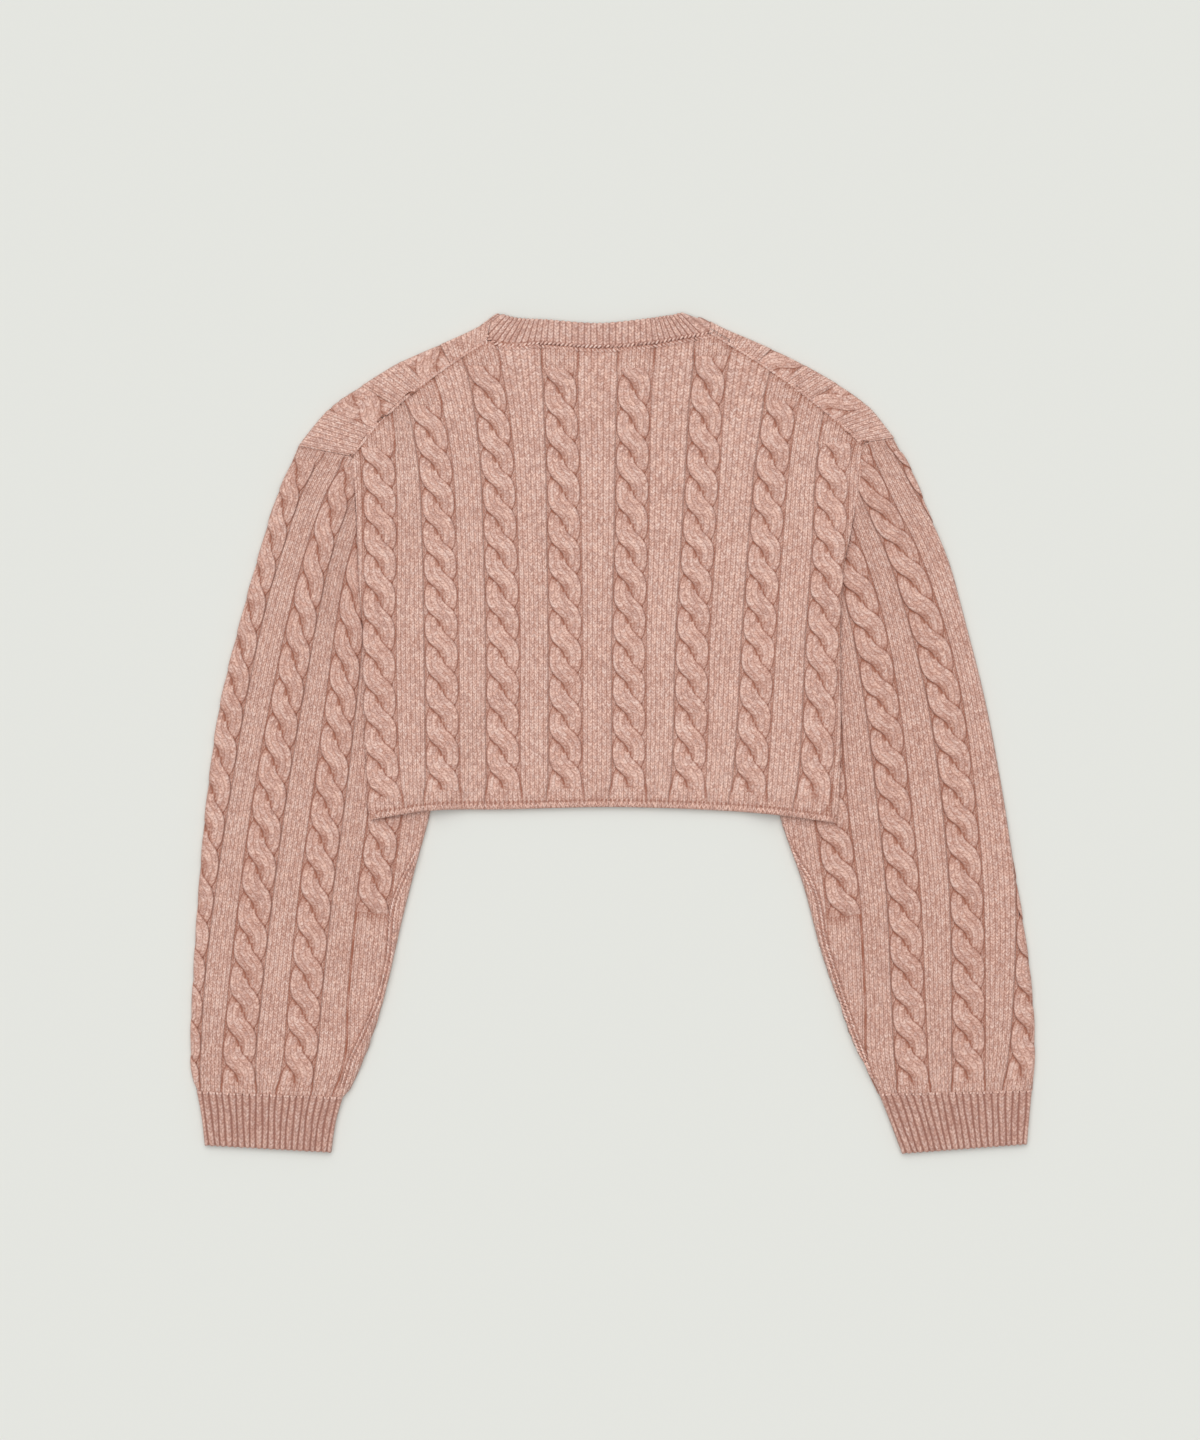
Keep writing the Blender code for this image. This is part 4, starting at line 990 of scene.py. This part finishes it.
def makeSleeve(name, plan):
    side, firstRow, phase = plan["side"], sleeveKnit["firstRow"], sleeveKnit["phase"]
    start, full = sleeveKnit["flatAtWrist"]
    lay, folds, cables, scale, nearStrip = sleeveLay(plan)
    rows = np.concatenate((firstRow + edgeSteps / sleeveKnit["crossingHeight"],
                           np.arange(-0.6, sleeveKnit["topRow"], sleeveKnit["rowStep"])))
    outerAt, innerAt = folds(rows)
    half = (outerAt - innerAt) / 2 - foldRadius
    outLimit = outerAt - foldRadius + foldRun + half
    inLimit = innerAt + foldRadius - foldRun - half
    out, wale, rise, paintedShade, offset = sleeveColumns(cables, rows, scale(rows))
    row = np.broadcast_to(rows[:, None], out.shape)
    x, y, _ = lay(out, row, 0.0 * out)
    flat = np.maximum(risen((start - row) / (start - full)), nearStrip(x, y))
    out, rise, paintedShade = shapeGround(out, rise, paintedShade, offset, flat, row + phase, sleeveKnit["pinch"],
                                    1.0 * (row < 2.0))
    paintedShade = paintedShade * sleeveKnit["gutterShade"]
    order = np.arange(out.shape[1])
    out = np.maximum(out, inLimit[:, None] + 0.01 * order)
    out = np.minimum(out, outLimit[:, None] - 0.01 * (len(order) - order))
    # the hidden side between the last columns and the middle underneath
    hiddenIn = [out[:, 0] + (inLimit - out[:, 0]) * share for share in (1.0, 0.66, 0.33)]
    hiddenOut = [out[:, -1] + (outLimit - out[:, -1]) * share for share in (0.33, 0.66)]
    out = np.column_stack([*hiddenIn, out, *hiddenOut])
    wale = np.column_stack([*[wale[:, 0] - step for step in (6, 4, 2)], wale,
                            *[wale[:, -1] + step for step in (2, 4)]])
    rise, paintedShade = [np.pad(values, ((0, 0), (3, 2))) for values in (rise, paintedShade)]

    row = np.broadcast_to(rows[:, None], out.shape)
    x, y, _ = lay(out, row, 0.0 * out)
    fromWrist = (row - firstRow) * sleeveKnit["crossingHeight"]
    x, y, z = lay(out, row, rise * bodyCover(x, y, side, sleeveKnit["reliefUnderBody"]))
    x, y, z, row, edge = trimRows(x, y, z, row, plan["armhole"], side)
    z = z - aboveFold(z) * (edgeDropAt(edge) + 0.3 * edgeDropAt(fromWrist))
    # painted shade in the gutters and a line at the wrist, and the whole sleeve a little darker
    wrist = sleeveKnit["wristShade"] * np.exp(-(fromWrist / 1.2) ** 2)
    paintedShade = np.maximum(paintedShade, wrist) + plan["shade"]
    part = gridPart(x, y, z, wale, row * knit["rowsPerCrossing"], paintedShade, closed=True, flip=side < 0)
    shell = makeShell(name + "Knit", [part], woolKnit, knit["shell"])

    laid = []
    for number, path in enumerate(cables):
        first, low = (0.0, full + phase) if number else (5.0, 4.95)
        flat = knitCable(low, 18.8, first, 19.0)
        crossing = flat["crossing"] - phase
        out = path(crossing) + flat["x"] * side * scale(crossing)
        x, y, z = lay(out, crossing, 0.0 * out)
        firm = (1.0 - sunk(1.0 - (flat["crossing"] - low) / 0.45)) * (1.0 - nearStrip(x, y))
        height = flat["z"] * firm - knit["sunkEnd"] * (1.0 - firm)
        x, y, z = lay(out, crossing, height * bodyCover(x, y, side, sleeveKnit["cablesUnderBody"]))
        x, y, keep = pullBack(x, y, plan["armhole"], side)
        z = np.where(keep < 0.8, np.maximum(z - 0.4, 0.0), z)
        laid.append(cablePart(flat, x, y, z, flat["paintedShade"] + plan["shade"], np.minimum(keep, firm)))
    return shell, makeShell(name + "Cables", laid[::-1], woolKnit)


sleevePieces = {}
for name, plan in sleeves.items():
    sleevePieces[name] = makeSleeve(name, plan)
    finishPiece(sleevePieces[name][0], plan["node"])
    finishPiece(sleevePieces[name][1])
print("sleeves are knitted")

cuffs = {
    "cuffLeft": {"node": "cuff_left",
                 "rows": ((-353, -304, -229, -309), (-349, -325, -235, -330), (-346, -350, -239, -356))},
    "cuffRight": {"node": "cuff_right",
                  "rows": ((226, -306, 356, -303), (235, -328, 354, -324), (246, -357, 352, -349))},
}
cuffRib = {"ribs": 22, "rise": 1.25, "columnsPerRib": 6, "rows": 15, "tip": 0.7, "seamGap": -0.3,
           "tall": 47.0, "sway": 0.3, "shade": 0.32}


def ribProfile(phase):
    # 1 on the round of a rib, 0 in the narrow purl valley
    return np.power(0.5 - 0.5 * np.cos(2 * math.pi * phase), 0.55)


def makeCuff(name, plan):
    rows = np.array(plan["rows"], float)
    lowX, lowY, highX, highY = [smoothCurve(np.linspace(0.0, 1.0, 3), rows[:, i]) for i in range(4)]
    tall = cuffRib["tall"]
    along = np.concatenate((edgeSteps / tall, np.linspace(0.09, 0.94, cuffRib["rows"]),
                            1.0 - edgeSteps[-2::-1] / tall))
    perSide = cuffRib["ribs"] * cuffRib["columnsPerRib"]
    share, at = np.meshgrid(np.arange(0, 2 * perSide) / perSide, along)      # over the top, then below
    width = highX(at) - lowX(at)
    top = width - 2 * foldRadius
    whole = 2 * top + 2 * foldRun
    phase = share * cuffRib["ribs"]
    rib = ribProfile(phase)
    sway = np.sin(phase * 2.4 + at * 3.3) + 0.7 * np.sin(phase * 1.1 - at * 6.1)
    # a run of 0 is where the top leaves the low fold
    run = share / 2.0 * whole - 0.5 * foldRun + cuffRib["sway"] * sway
    under = run > 1.5 * top + foldRun
    toHigh = (run > top / 2) & ~under
    past = np.where(under, whole - run, np.where(toHigh, run - top, -run))
    forward, z = wrapFold(past, rib * cuffRib["rise"])
    x = np.where(toHigh, highX(at) - foldRadius + forward, lowX(at) + foldRadius - forward)
    slope = (highY(at) - lowY(at)) / width
    tip = cuffRib["tip"] * (rib - 0.5) * smoothStep((at - 0.93) / 0.07)
    y = lowY(at) + slope * (x - lowX(at)) - tip - cuffRib["seamGap"] * (1.0 - at)
    edge = np.minimum(at, 1.0 - at) * tall
    z = z - aboveFold(z) * edgeDropAt(edge) * np.where(at < 0.5, 0.1, 1.0)
    # painted shade in the purl valleys between the ribs and a little at the wrist edge, over a base that
    # darkens the whole cuff
    paintedShade = np.maximum(1.0 - smoothStep(rib / 0.85), 0.1 * np.exp(-(at * tall / 1.2) ** 2))
    paintedShade = paintedShade * (0.85 + 0.15 * np.sin(phase * 1.7 + at * 9.0))
    paintedShade = cuffRib["shade"] + (1.0 - cuffRib["shade"]) * paintedShade
    part = gridPart(x, y, z, phase, -at * 14.0, paintedShade, closed=True, flip=True)
    return makeShell(name + "Rib", [part], woolRib, knit["ribShell"])


for name, plan in cuffs.items():
    finishPiece(makeCuff(name, plan), plan["node"])
print("cuffs are knitted")

neck = {
    # seam x, y and free edge x, y
    "back": ((-113, 345, -97, 357), (-106, 333, -88, 354), (-57, 329, -55, 351), (-11, 326, -11, 348),
             (32, 329, 30, 352), (66, 335, 51, 355), (84, 339, 63, 356.5), (90, 345, 73, 354)),
    "front": ((90, 345, 73, 354), (78, 306, 58, 316), (42, 272, 31, 291), (-12, 259, -12, 281),
              (-66, 272, -55, 291), (-101, 306, -82, 316), (-113, 345, -97, 357)),
    "ribs": 40, "rise": 0.95, "columnsPerRib": 6, "frontSections": 60,
    "turns": (75.0, 50.0, 25.0, 0.0, -25.0, -50.0, -75.0),
    "openMiddle": 0.3,
    "ribShade": 0.74, "closeShade": 0.17, "seamShade": 0.85,
    # round the section: from the seam to the free edge and back below
    "across": (0.0, 0.03, 0.09, 0.2, 0.4, 0.6, 0.78, 0.9, 0.97, 1.0, 0.97, 0.9, 0.5, 0.0),
    "depth": (0.1, 0.35, 0.5, 0.5, 0.5, 0.5, 0.5, 0.42, 0.25, 0.0, -0.25, -0.42, -0.5, -0.5),
}


def makeNeck():
    ribs = neck["ribs"]

    def half(key, shares, level, facing, ribCount):
        rows = pathCurve(neck[key])[0](shares)
        return [(*row, level, facing, 0.0, 0.0, share * ribCount) for share, row in zip(shares, rows)]

    def fold(row, side, ribAtEnd):
        seam, edge = np.array(row[:2]), np.array(row[2:4])
        across = (seam - edge) / np.linalg.norm(seam - edge)
        outward = np.array((across[1], -across[0])) * side
        radius = knit["step"] / 2
        for turn in neck["turns"]:
            angle = math.radians(turn)
            shift = outward * (radius * math.cos(angle) - foldRadius)
            phase = ribAtEnd + side * (75.0 - turn) / 75.0 * 0.9
            level = foldRadius + radius * math.sin(angle)
            yield (*(seam + shift), *(edge + shift), level, turn, *outward, phase)

    # each section is seam x, y, edge x, y, level, facing, outward x, y and rib phase
    backShares = np.linspace(0.03, 0.945, ribs * neck["columnsPerRib"])
    frontShares = np.linspace(0.04, 0.96, neck["frontSections"])
    sections = half("back", backShares, topOfTwo - knit["wall"] / 2, 90.0, ribs)
    sections += fold(neck["back"][-1], -1.0, 0.96 * ribs)
    sections += half("front", frontShares, knit["wall"] / 2, -90.0, 0.0)
    sections += list(fold(neck["back"][0], 1.0, 0.02 * ribs))[::-1]
    sections = np.array(sections)[:, None, :]
    seam, edge, outward = sections[..., 0:2], sections[..., 2:4], sections[..., 6:8]
    level, facing, phase = sections[..., 4], sections[..., 5], sections[..., 8]
    across, depth = np.array(neck["across"]), np.array(neck["depth"])
    rib = ribProfile(phase) * smoothStep((facing + 30.0) / 90.0)
    # the ribs lie open in the middle and close up towards the ends
    fromMiddle = np.abs(phase / ribs - 0.5)
    close = neck["openMiddle"] + (1.0 - neck["openMiddle"]) * smoothStep((fromMiddle - 0.2) / 0.17)
    outer = smoothStep(depth / 0.4)
    offset = knit["wall"] * depth + rib * neck["rise"] * outer * close
    reach = (across * (1.0 + 0.03 * (rib - 0.5) * (across > 0.85)))[..., None]
    flat = seam + (edge - seam) * reach + outward * (np.cos(np.radians(facing)) * offset)[..., None]
    z = level + np.sin(np.radians(facing)) * offset
    # painted shade in the purl valleys, more where the ribs close up, and along the seam
    paintedShade = neck["ribShade"] * (1.0 - smoothStep(rib / 0.7)) * outer * close * (facing > 10)
    paintedShade = np.maximum(paintedShade + neck["closeShade"] * (1.0 - close), neck["seamShade"] * (across < 0.1))
    part = gridPart(flat[..., 0], flat[..., 1], z, phase, across * 8.0, paintedShade, closed=True)
    columns = len(across)
    last = (len(sections) - 1) * columns
    for i in range(columns):         # the ring's last section meets its first
        j = (i + 1) % columns
        part["faces"].append([last + i, last + j, j, i])
    return makeShell("neckRib", [part], woolRib)


neckRib = finishPiece(makeNeck(), "neckband")
print("neckband is knitted")

shoulders = {
    "left": {
        "fold": ((-102, 351), (-113, 345), (-147, 329), (-181, 314), (-215, 293), (-238, 277), (-257, 256),
                 (-266, 244)),
        "seam": ((-106, 333), (-136, 314), (-172, 287), (-198, 263), (-221, 235)),
        "cables": (0.335, 0.715), "direction": 1.0,
    },
    "right": {
        "fold": ((82.5, 349.5), (90, 345.5), (121, 332), (153, 317), (193, 294.5), (217, 277),
                 (238.5, 251)),
        "seam": ((81.5, 340.5), (125, 314), (159, 290), (189, 266), (211, 246)),
        "cables": (0.39, 0.73), "direction": -1.0,
    },
}
strip = {"leg": 12.0, "steps": 9, "turnSteps": 7, "cableHeight": 0.45, "over": 1.2, "lift": 0.45,
         "pinch": 0.6, "shade": 0.8, "seamShade": 0.45, "endWales": 1.2}
front = {
    # upper bound of the front's lower layer: inside the shoulder folds and round the neck
    "top": ((-262, 240), (-252, 254), (-233, 273), (-212, 288), (-178, 309), (-146, 324), (-120, 336),
            (-113, 340), (-101, 306), (-66, 272), (-12, 259), (42, 272), (78, 306), (90, 340), (119, 327),
            (151, 312), (190, 289.5), (213, 273), (234, 249)),
    "rowStep": 9.0, "columns": 90, "widen": 70.0, "ends": (-258.0, 231.0),
}


def stripLay(plan):
    # from a share along the shoulder and a way in from its seam to where the cloth lies
    foldAt, _ = pathCurve(plan["fold"])
    seamPath, length = pathCurve(plan["seam"])

    def lay(share, run, height):
        fold, seam = foldAt(share), seamPath(share)
        across = fold - seam
        width = np.linalg.norm(across, axis=-1)
        forward, z = wrapFold(run - (width - foldRadius), height)
        flat = seam + across / width[..., None] * (width - foldRadius + forward)[..., None]
        return flat[..., 0], flat[..., 1], z, width

    return lay, length


def stripColumns(plan, length):
    # place along the shoulder, wale, height and painted shade of each column of a strip
    columns = []
    edges = [0.0, *plan["cables"], 1.0 + strip["over"] / length]
    half = (ribEdge - strip["pinch"] * ground["pinchReach"]) / length
    for number in range(3):
        first, last = number == 0, number == 2
        start = edges[number] + (0.004 if first else half)
        end = edges[number + 1] - (0.004 if last else half)
        steps = max(4, int(round((end - start) * length / knit["waleWidth"] * 2)))
        wale = number * knit["repeat"]
        for i in range(steps + 1):
            fromStart = i / 2 + strip["endWales"] * first
            fromEnd = (steps - i) / 2 + strip["endWales"] * last
            rise = waleRelief(min(fromStart, fromEnd, knit["ribWales"] / 2))
            columns.append((start + (end - start) * i / steps, wale + i / 2, rise, 0.0))
        if last:
            break
        for offset in (*ground["offsets"][:5], 0.0, *ground["offsets"][7:]):
            rise = waleRelief((abs(offset) - ribEdge) / knit["waleWidth"])
            shadePaint = gutterShadePaint(offset)
            pinched = strip["pinch"] * max(0.0, abs(offset) - ground["pinchFrom"])
            offset -= math.copysign(pinched, offset)
            place = edges[number + 1] + offset / length
            columns.append((place, wale + 11 + offset / knit["waleWidth"], rise, shadePaint))
    return np.array(columns).T


def makeStrip(plan):
    # what of the front comes over one shoulder: its cloth and its cables
    lay, length = stripLay(plan)
    places, wale, rise, paintedShade = stripColumns(plan, length)
    _, _, _, width = lay(places[None, :], np.zeros((1, len(places))), 0.0)
    flatPart = np.concatenate((edgeSteps[:, None] / np.maximum(width - foldRadius, 1.0),
                               np.repeat(np.linspace(0.2, 1.0, strip["steps"])[:, None], len(places), 1)))
    turn = np.linspace(0, 1, strip["turnSteps"] + 1)[1:, None] * foldRun
    leg = np.array([0.5, 1.0])[:, None] * strip["leg"] + foldRun
    level = width - foldRadius
    run = np.concatenate((flatPart * level, level + turn, level + leg))
    share = np.broadcast_to(places, run.shape)
    x, y, z, _ = lay(share, run, np.broadcast_to(rise, run.shape))
    ends = np.minimum(share, 1.0 + strip["over"] / length - share) * length
    raised = strip["lift"] * (1.0 - smoothStep((ends - 4.0) / 8.0))
    z = z + aboveFold(z) * (raised - 0.4 * edgeDropAt(run) - 0.4 * edgeDropAt(ends))
    # painted shade along the seam
    paintedShade = np.maximum(paintedShade, strip["seamShade"] * np.exp(-(run / 1.2) ** 2))
    part = gridPart(x, y, z, wale, run / 2.9, paintedShade, flip=plan["direction"] > 0)

    laid = []
    for centre in plan["cables"]:
        flat = knitCable(-0.1, 1.9, -0.3, 2.0)
        share = centre + flat["x"] * plan["direction"] / length
        near = strip["cableHeight"] * (0.6 + 0.4 * smoothStep(flat["y"] / 5.0))
        x, y, z, _ = lay(share, np.maximum(flat["y"], 0.3), flat["z"] * near)
        laid.append(cablePart(flat, x, y, z, flat["paintedShade"] * strip["shade"], np.ones(len(x))))
    return part, laid


def makeUnderside():
    # the layer underneath
    gap = body["seamGap"]
    levels = np.concatenate(([body["hemLevel"]], np.arange(-58.0, body["topLevel"], front["rowStep"])))
    share, level = np.meshgrid(np.linspace(0.0, 1.0, front["columns"]), levels)
    x = sideLeft(level) + gap + (sideRight(level) - sideLeft(level) - 2 * gap) * share
    x = np.clip(x + smoothStep((level - 225.0) / 30.0) * (share - 0.5) * front["widen"], *front["ends"])
    y = np.minimum(level + droopAt(x, level), np.interp(x, *zip(*front["top"])) - gap)
    row = (y - body["firstCrossing"]) / body["pitch"] * knit["rowsPerCrossing"]
    return gridPart(x, y, liftAt(x, y), share * 112.0, row, 0.0, flip=True)


def makeFront():
    strips = [makeStrip(plan) for plan in shoulders.values()]
    parts = [part for part, laid in strips] + [makeUnderside()]
    shell = makeShell("frontKnit", parts, woolKnit, knit["shell"])
    return shell, makeShell("shoulderCables", [one for part, laid in strips for one in laid], woolKnit)


frontKnit, shoulderCables = makeFront()
finishPiece(frontKnit, "front_panel")
finishPiece(shoulderCables)
print("front is knitted")

# sewn edges: pitch, length, width and height of the stitches are in millimetres; the value before the seed
# is painted shade, which makes the hem holes and the seam lines dark
stitchInputs = ("Pitch", "Length", "Width", "Height", "Slant", "Swap", "Uneven", "PaintedShade", "Seed")
sewing = {
    "hemStitches": (1.87, 5.2, 1.25, 1.5, 1.15, 1.0, 0.3, 0.05, 3),
    "hemHoleShade": (3.74, 2.4, 1.8, 0.9, 1.5, 0.0, 0.5, 1.0, 4),
    "neckChainUp": (3.5, 4.6, 1.8, 2.1, 0.75, 0.0, 0.3, 0.0, 5),
    "neckChainDown": (3.5, 4.6, 1.8, 2.1, -0.75, 0.0, 0.3, 0.0, 6),
    "shoulderStitches": (2.6, 3.9, 2.4, 1.9, 0.45, 0.0, 0.4, 0.15, 7),
    "armholeStitches": (2.6, 3.5, 1.2, 1.2, 0.3, 0.0, 0.4, 0.5, 8),
    "wristStitches": (2.8, 2.6, 2.0, 1.6, 1.2, 1.0, 0.6, 0.0, 11),
    "underarmStitches": (3.3, 4.4, 1.5, 1.7, 0.2, 0.0, 0.4, 0.8, 13),
    "underarmWales": (3.1, 4.2, 2.0, 2.3, 0.3, 0.0, 0.5, 0.0, 14),
}


def stitchTree(material):
    # small slanted stitches along the lines of a mesh
    tree, given = newTree("sewnStitches", stitchInputs[:-1], stitchInputs[-1:])

    def chance(low, high):
        inputs = {2: low, 3: high, "Seed": given["Seed"]}
        return flow(tree, "FunctionNodeRandomValue", inputs, 1, data_type="FLOAT")

    line = flow(tree, "GeometryNodeMeshToCurve", {"Mesh": given["Geometry"]})
    even = flow(tree, "GeometryNodeResampleCurve", {"Curve": line, "Length": given["Pitch"]}, mode="LENGTH")
    bead = flow(tree, "GeometryNodeMeshUVSphere", {"Segments": 8, "Rings": 5, "Radius": 0.5})
    tangent = flow(tree, "GeometryNodeInputTangent")
    facing = flow(tree, "FunctionNodeAlignRotationToVector", {"Vector": tangent}, axis="X", pivot_axis="Z")
    side = flow(tree, "GeometryNodeInputIndex").calc("MODULO", 2.0) * -2.0 + 1.0
    sign = side * given["Swap"] + (1.0 - given["Swap"])
    sway = chance(-0.5, 0.5) * given["Uneven"]
    turn = flow(tree, "FunctionNodeEulerToRotation", {0: combine(tree, z=given["Slant"] * sign + sway)})
    turned = flow(tree, "FunctionNodeRotateRotation", {0: facing, 1: turn}, rotation_space="LOCAL")
    size = combine(tree, given["Length"] * (sway * 0.8 + 1.0), given["Width"], given["Height"])
    placed = flow(tree, "GeometryNodeInstanceOnPoints",
                  {"Points": even, "Instance": bead, "Rotation": turned, "Scale": size})
    mark = combine(tree, chance(0.0, 4000.0).calc("FLOOR") + 0.3, 0.78)
    marked = storeValue(tree, placed, "stitch", mark, "FLOAT_VECTOR", "INSTANCE")
    # painted shade of the stitches, from the sewing table
    shaded = storeValue(tree, marked, "paintedShade", given["PaintedShade"], "FLOAT", "INSTANCE")
    return finishTree(tree, shaded, material)


seamStitches = stitchTree(woolKnit)
ribStitches = stitchTree(woolRib)


def sewStitches(name, lines, tree=seamStitches):
    points, edges = [], []
    for line in lines:
        edges += [(len(points) + i, len(points) + i + 1) for i in range(len(line) - 1)]
        points += [tuple(np.array(place) * mm) for place in line]
    mesh = bpy.data.meshes.new(name)
    mesh.from_pydata(points, edges, [])
    piece = placeObject(name, mesh)
    values = dict(zip(stitchInputs, sewing[name]))
    for key in stitchInputs[:4]:
        values[key] *= mm
    piece.data = runTree(piece, tree, values)
    piece.data.name = name
    piece.data.shade_smooth()
    finishPiece(piece)


def alongHem(above, height, shift):
    xs = np.arange(-202, 187, 2.0) + shift
    ys = hemAt(xs) + above
    return list(zip(xs, ys, topOfBack(xs, ys) + height))


# above the hem's edge, height and shift along it; then in from the neck's seam and height
hemLines = {"hemStitches": (3.0, 0.9, 0.0), "hemHoleShade": (6.2, 1.05, 2.8)}
neckLines = {"neckChainUp": (1.9, 1.1), "neckChainDown": (-1.7, 1.2)}
for name, line in hemLines.items():
    sewStitches(name, [alongHem(*line)])

seamPath, _ = pathCurve([row[:2] for row in neck["back"]])
edgePath, _ = pathCurve([row[2:] for row in neck["back"]])
chainShares = np.linspace(0.05, 0.96, 124)
neckSeam = seamPath(chainShares)
inward = edgePath(chainShares) - neckSeam
inward = inward / np.linalg.norm(inward, axis=1)[:, None]
for name, (across, height) in neckLines.items():
    sewStitches(name, [[(*place, topOfTwo + height) for place in neckSeam + inward * across]])

shoulderLines, armholeLines, wristLines = [], [], []
for plan in shoulders.values():
    seamPath, _ = pathCurve(plan["seam"])
    shoulderLines.append([(*seamPath(share), topOfTwo + 0.9) for share in np.linspace(0.03, 1.015, 60)])
    fold, seam = np.array(plan["fold"][-1], float), np.array(plan["seam"][-1], float)
    width = np.linalg.norm(seam - fold)
    armholeLines.append([(*(fold + (seam - fold) / width * step + (0, -1.5)), topOfTwo + 0.7)
                         for step in np.linspace(3.0, width + 3.0, 20)])
for plan in cuffs.values():
    lowX, lowY, highX, highY = plan["rows"][0]
    wristLines.append([(x, lowY + (highY - lowY) * (x - lowX) / (highX - lowX) - 1.2, topOfTwo + 1.0)
                       for x in np.linspace(lowX + 3.5, highX - 3.5, 60)])
sewStitches("shoulderStitches", shoulderLines)
sewStitches("armholeStitches", armholeLines)
sewStitches("wristStitches", wristLines, ribStitches)

# underarm seams where they roll up over the inner folds; two wales stand up beside each
underarm = {
    "sleeveLeft": ((-167.9, -99.5), (-180.6, -125), (-187.4, -142), (-193.4, -193), (-201.9, -227),
                   (-212.9, -252.5), (-224.8, -278), (-231.6, -299)),
    "sleeveRight": ((144.9, -79), (159.4, -108), (167.9, -120.7), (176.4, -142), (181.5, -171.7),
                    (191.7, -205.7), (204.4, -244), (215.5, -273.7), (222, -292)),
}
besideUnderarm = {"underarmStitches": ((0.0, 3.6), 1.3), "underarmWales": ((1.8, 5.4), 1.4)}


def onSleeve(x, y, plan, height):
    # a place on a sleeve's upper side near its inner fold
    inner, side = byLevel(plan["inner"])(y), plan["side"]
    x = inner + side * np.maximum(1.3, side * (x - inner))
    room = np.clip(np.abs(inner - x) * 0.93, 0.0, foldRadius)
    bend = np.sqrt(foldRadius ** 2 - (foldRadius - room) ** 2)
    return list(zip(x, y, foldRadius + bend + height + creaseAt(x, y)))


for name, (steps, height) in besideUnderarm.items():
    lines = []
    for key, seam in underarm.items():
        plan = sleeves[key]
        path, length = pathCurve(seam)
        x, y = path(np.linspace(0.0, 1.0, int(length / 3))).T
        lines += [onSleeve(x - plan["side"] * step, y, plan, height) for step in steps]
    sewStitches(name, lines)
print("edges are sewn")

stage = {
    "floor": 6.0,
    "floorDrop": 0.4,
    "floorColour": (0.745, 0.75, 0.705, 1.0),
    # strength, softness and direction
    "suns": {"overhead": (1.5, 70.0, (0.05, -0.12, -1.0)), "softWindow": (0.65, 50.0, (0.12, -0.75, -1.0))},
    "worldColour": (0.97, 0.98, 1.0, 1.0),
    "worldStrength": 0.42,
    "look": (-10.6, 11.0),       # the point under the camera, in millimetres
    "height": 1224.0,            # how much of the floor the picture takes in
    "lens": 100.0,
    "sensor": 36.0,
}


def makeFloor():
    size = stage["floor"] / 2
    corners = [(-size, -size, 0), (size, -size, 0), (size, size, 0), (-size, size, 0)]
    mesh = bpy.data.meshes.new("floor")
    mesh.from_pydata(corners, [], [(0, 1, 2, 3)])
    material, _, shader = newMaterial("studioFloor")
    feed(shader, {"Roughness": 0.9, "Specular IOR Level": 0.1, "Base Color": stage["floorColour"]})
    mesh.materials.append(material)
    floor = placeObject("floor", mesh)
    floor.location.z = -stage["floorDrop"] * mm


def addSun(name, strength, softness, direction):
    sun = bpy.data.lights.new(name, "SUN")
    sun.energy = strength
    sun.angle = math.radians(softness)
    placeObject(name, sun).rotation_euler = Vector(direction).to_track_quat("-Z", "Y").to_euler()


makeFloor()
for name, sun in stage["suns"].items():
    addSun(name, *sun)
world = bpy.data.worlds.new("studio")
world.use_nodes = True
feed(world.node_tree.nodes["Background"], {0: stage["worldColour"], 1: stage["worldStrength"]})
bpy.context.scene.world = world
bpy.context.scene.view_settings.view_transform = "Standard"

camera = bpy.data.cameras.new("camera")
camera.lens = stage["lens"]
camera.sensor_fit = "VERTICAL"
camera.sensor_height = stage["sensor"]
camera.clip_end = 20.0
eye = placeObject("camera", camera)
distance = stage["height"] * stage["lens"] / stage["sensor"]
eye.location = (stage["look"][0] * mm, stage["look"][1] * mm, distance * mm)
bpy.context.scene.camera = eye
print("stage is set")
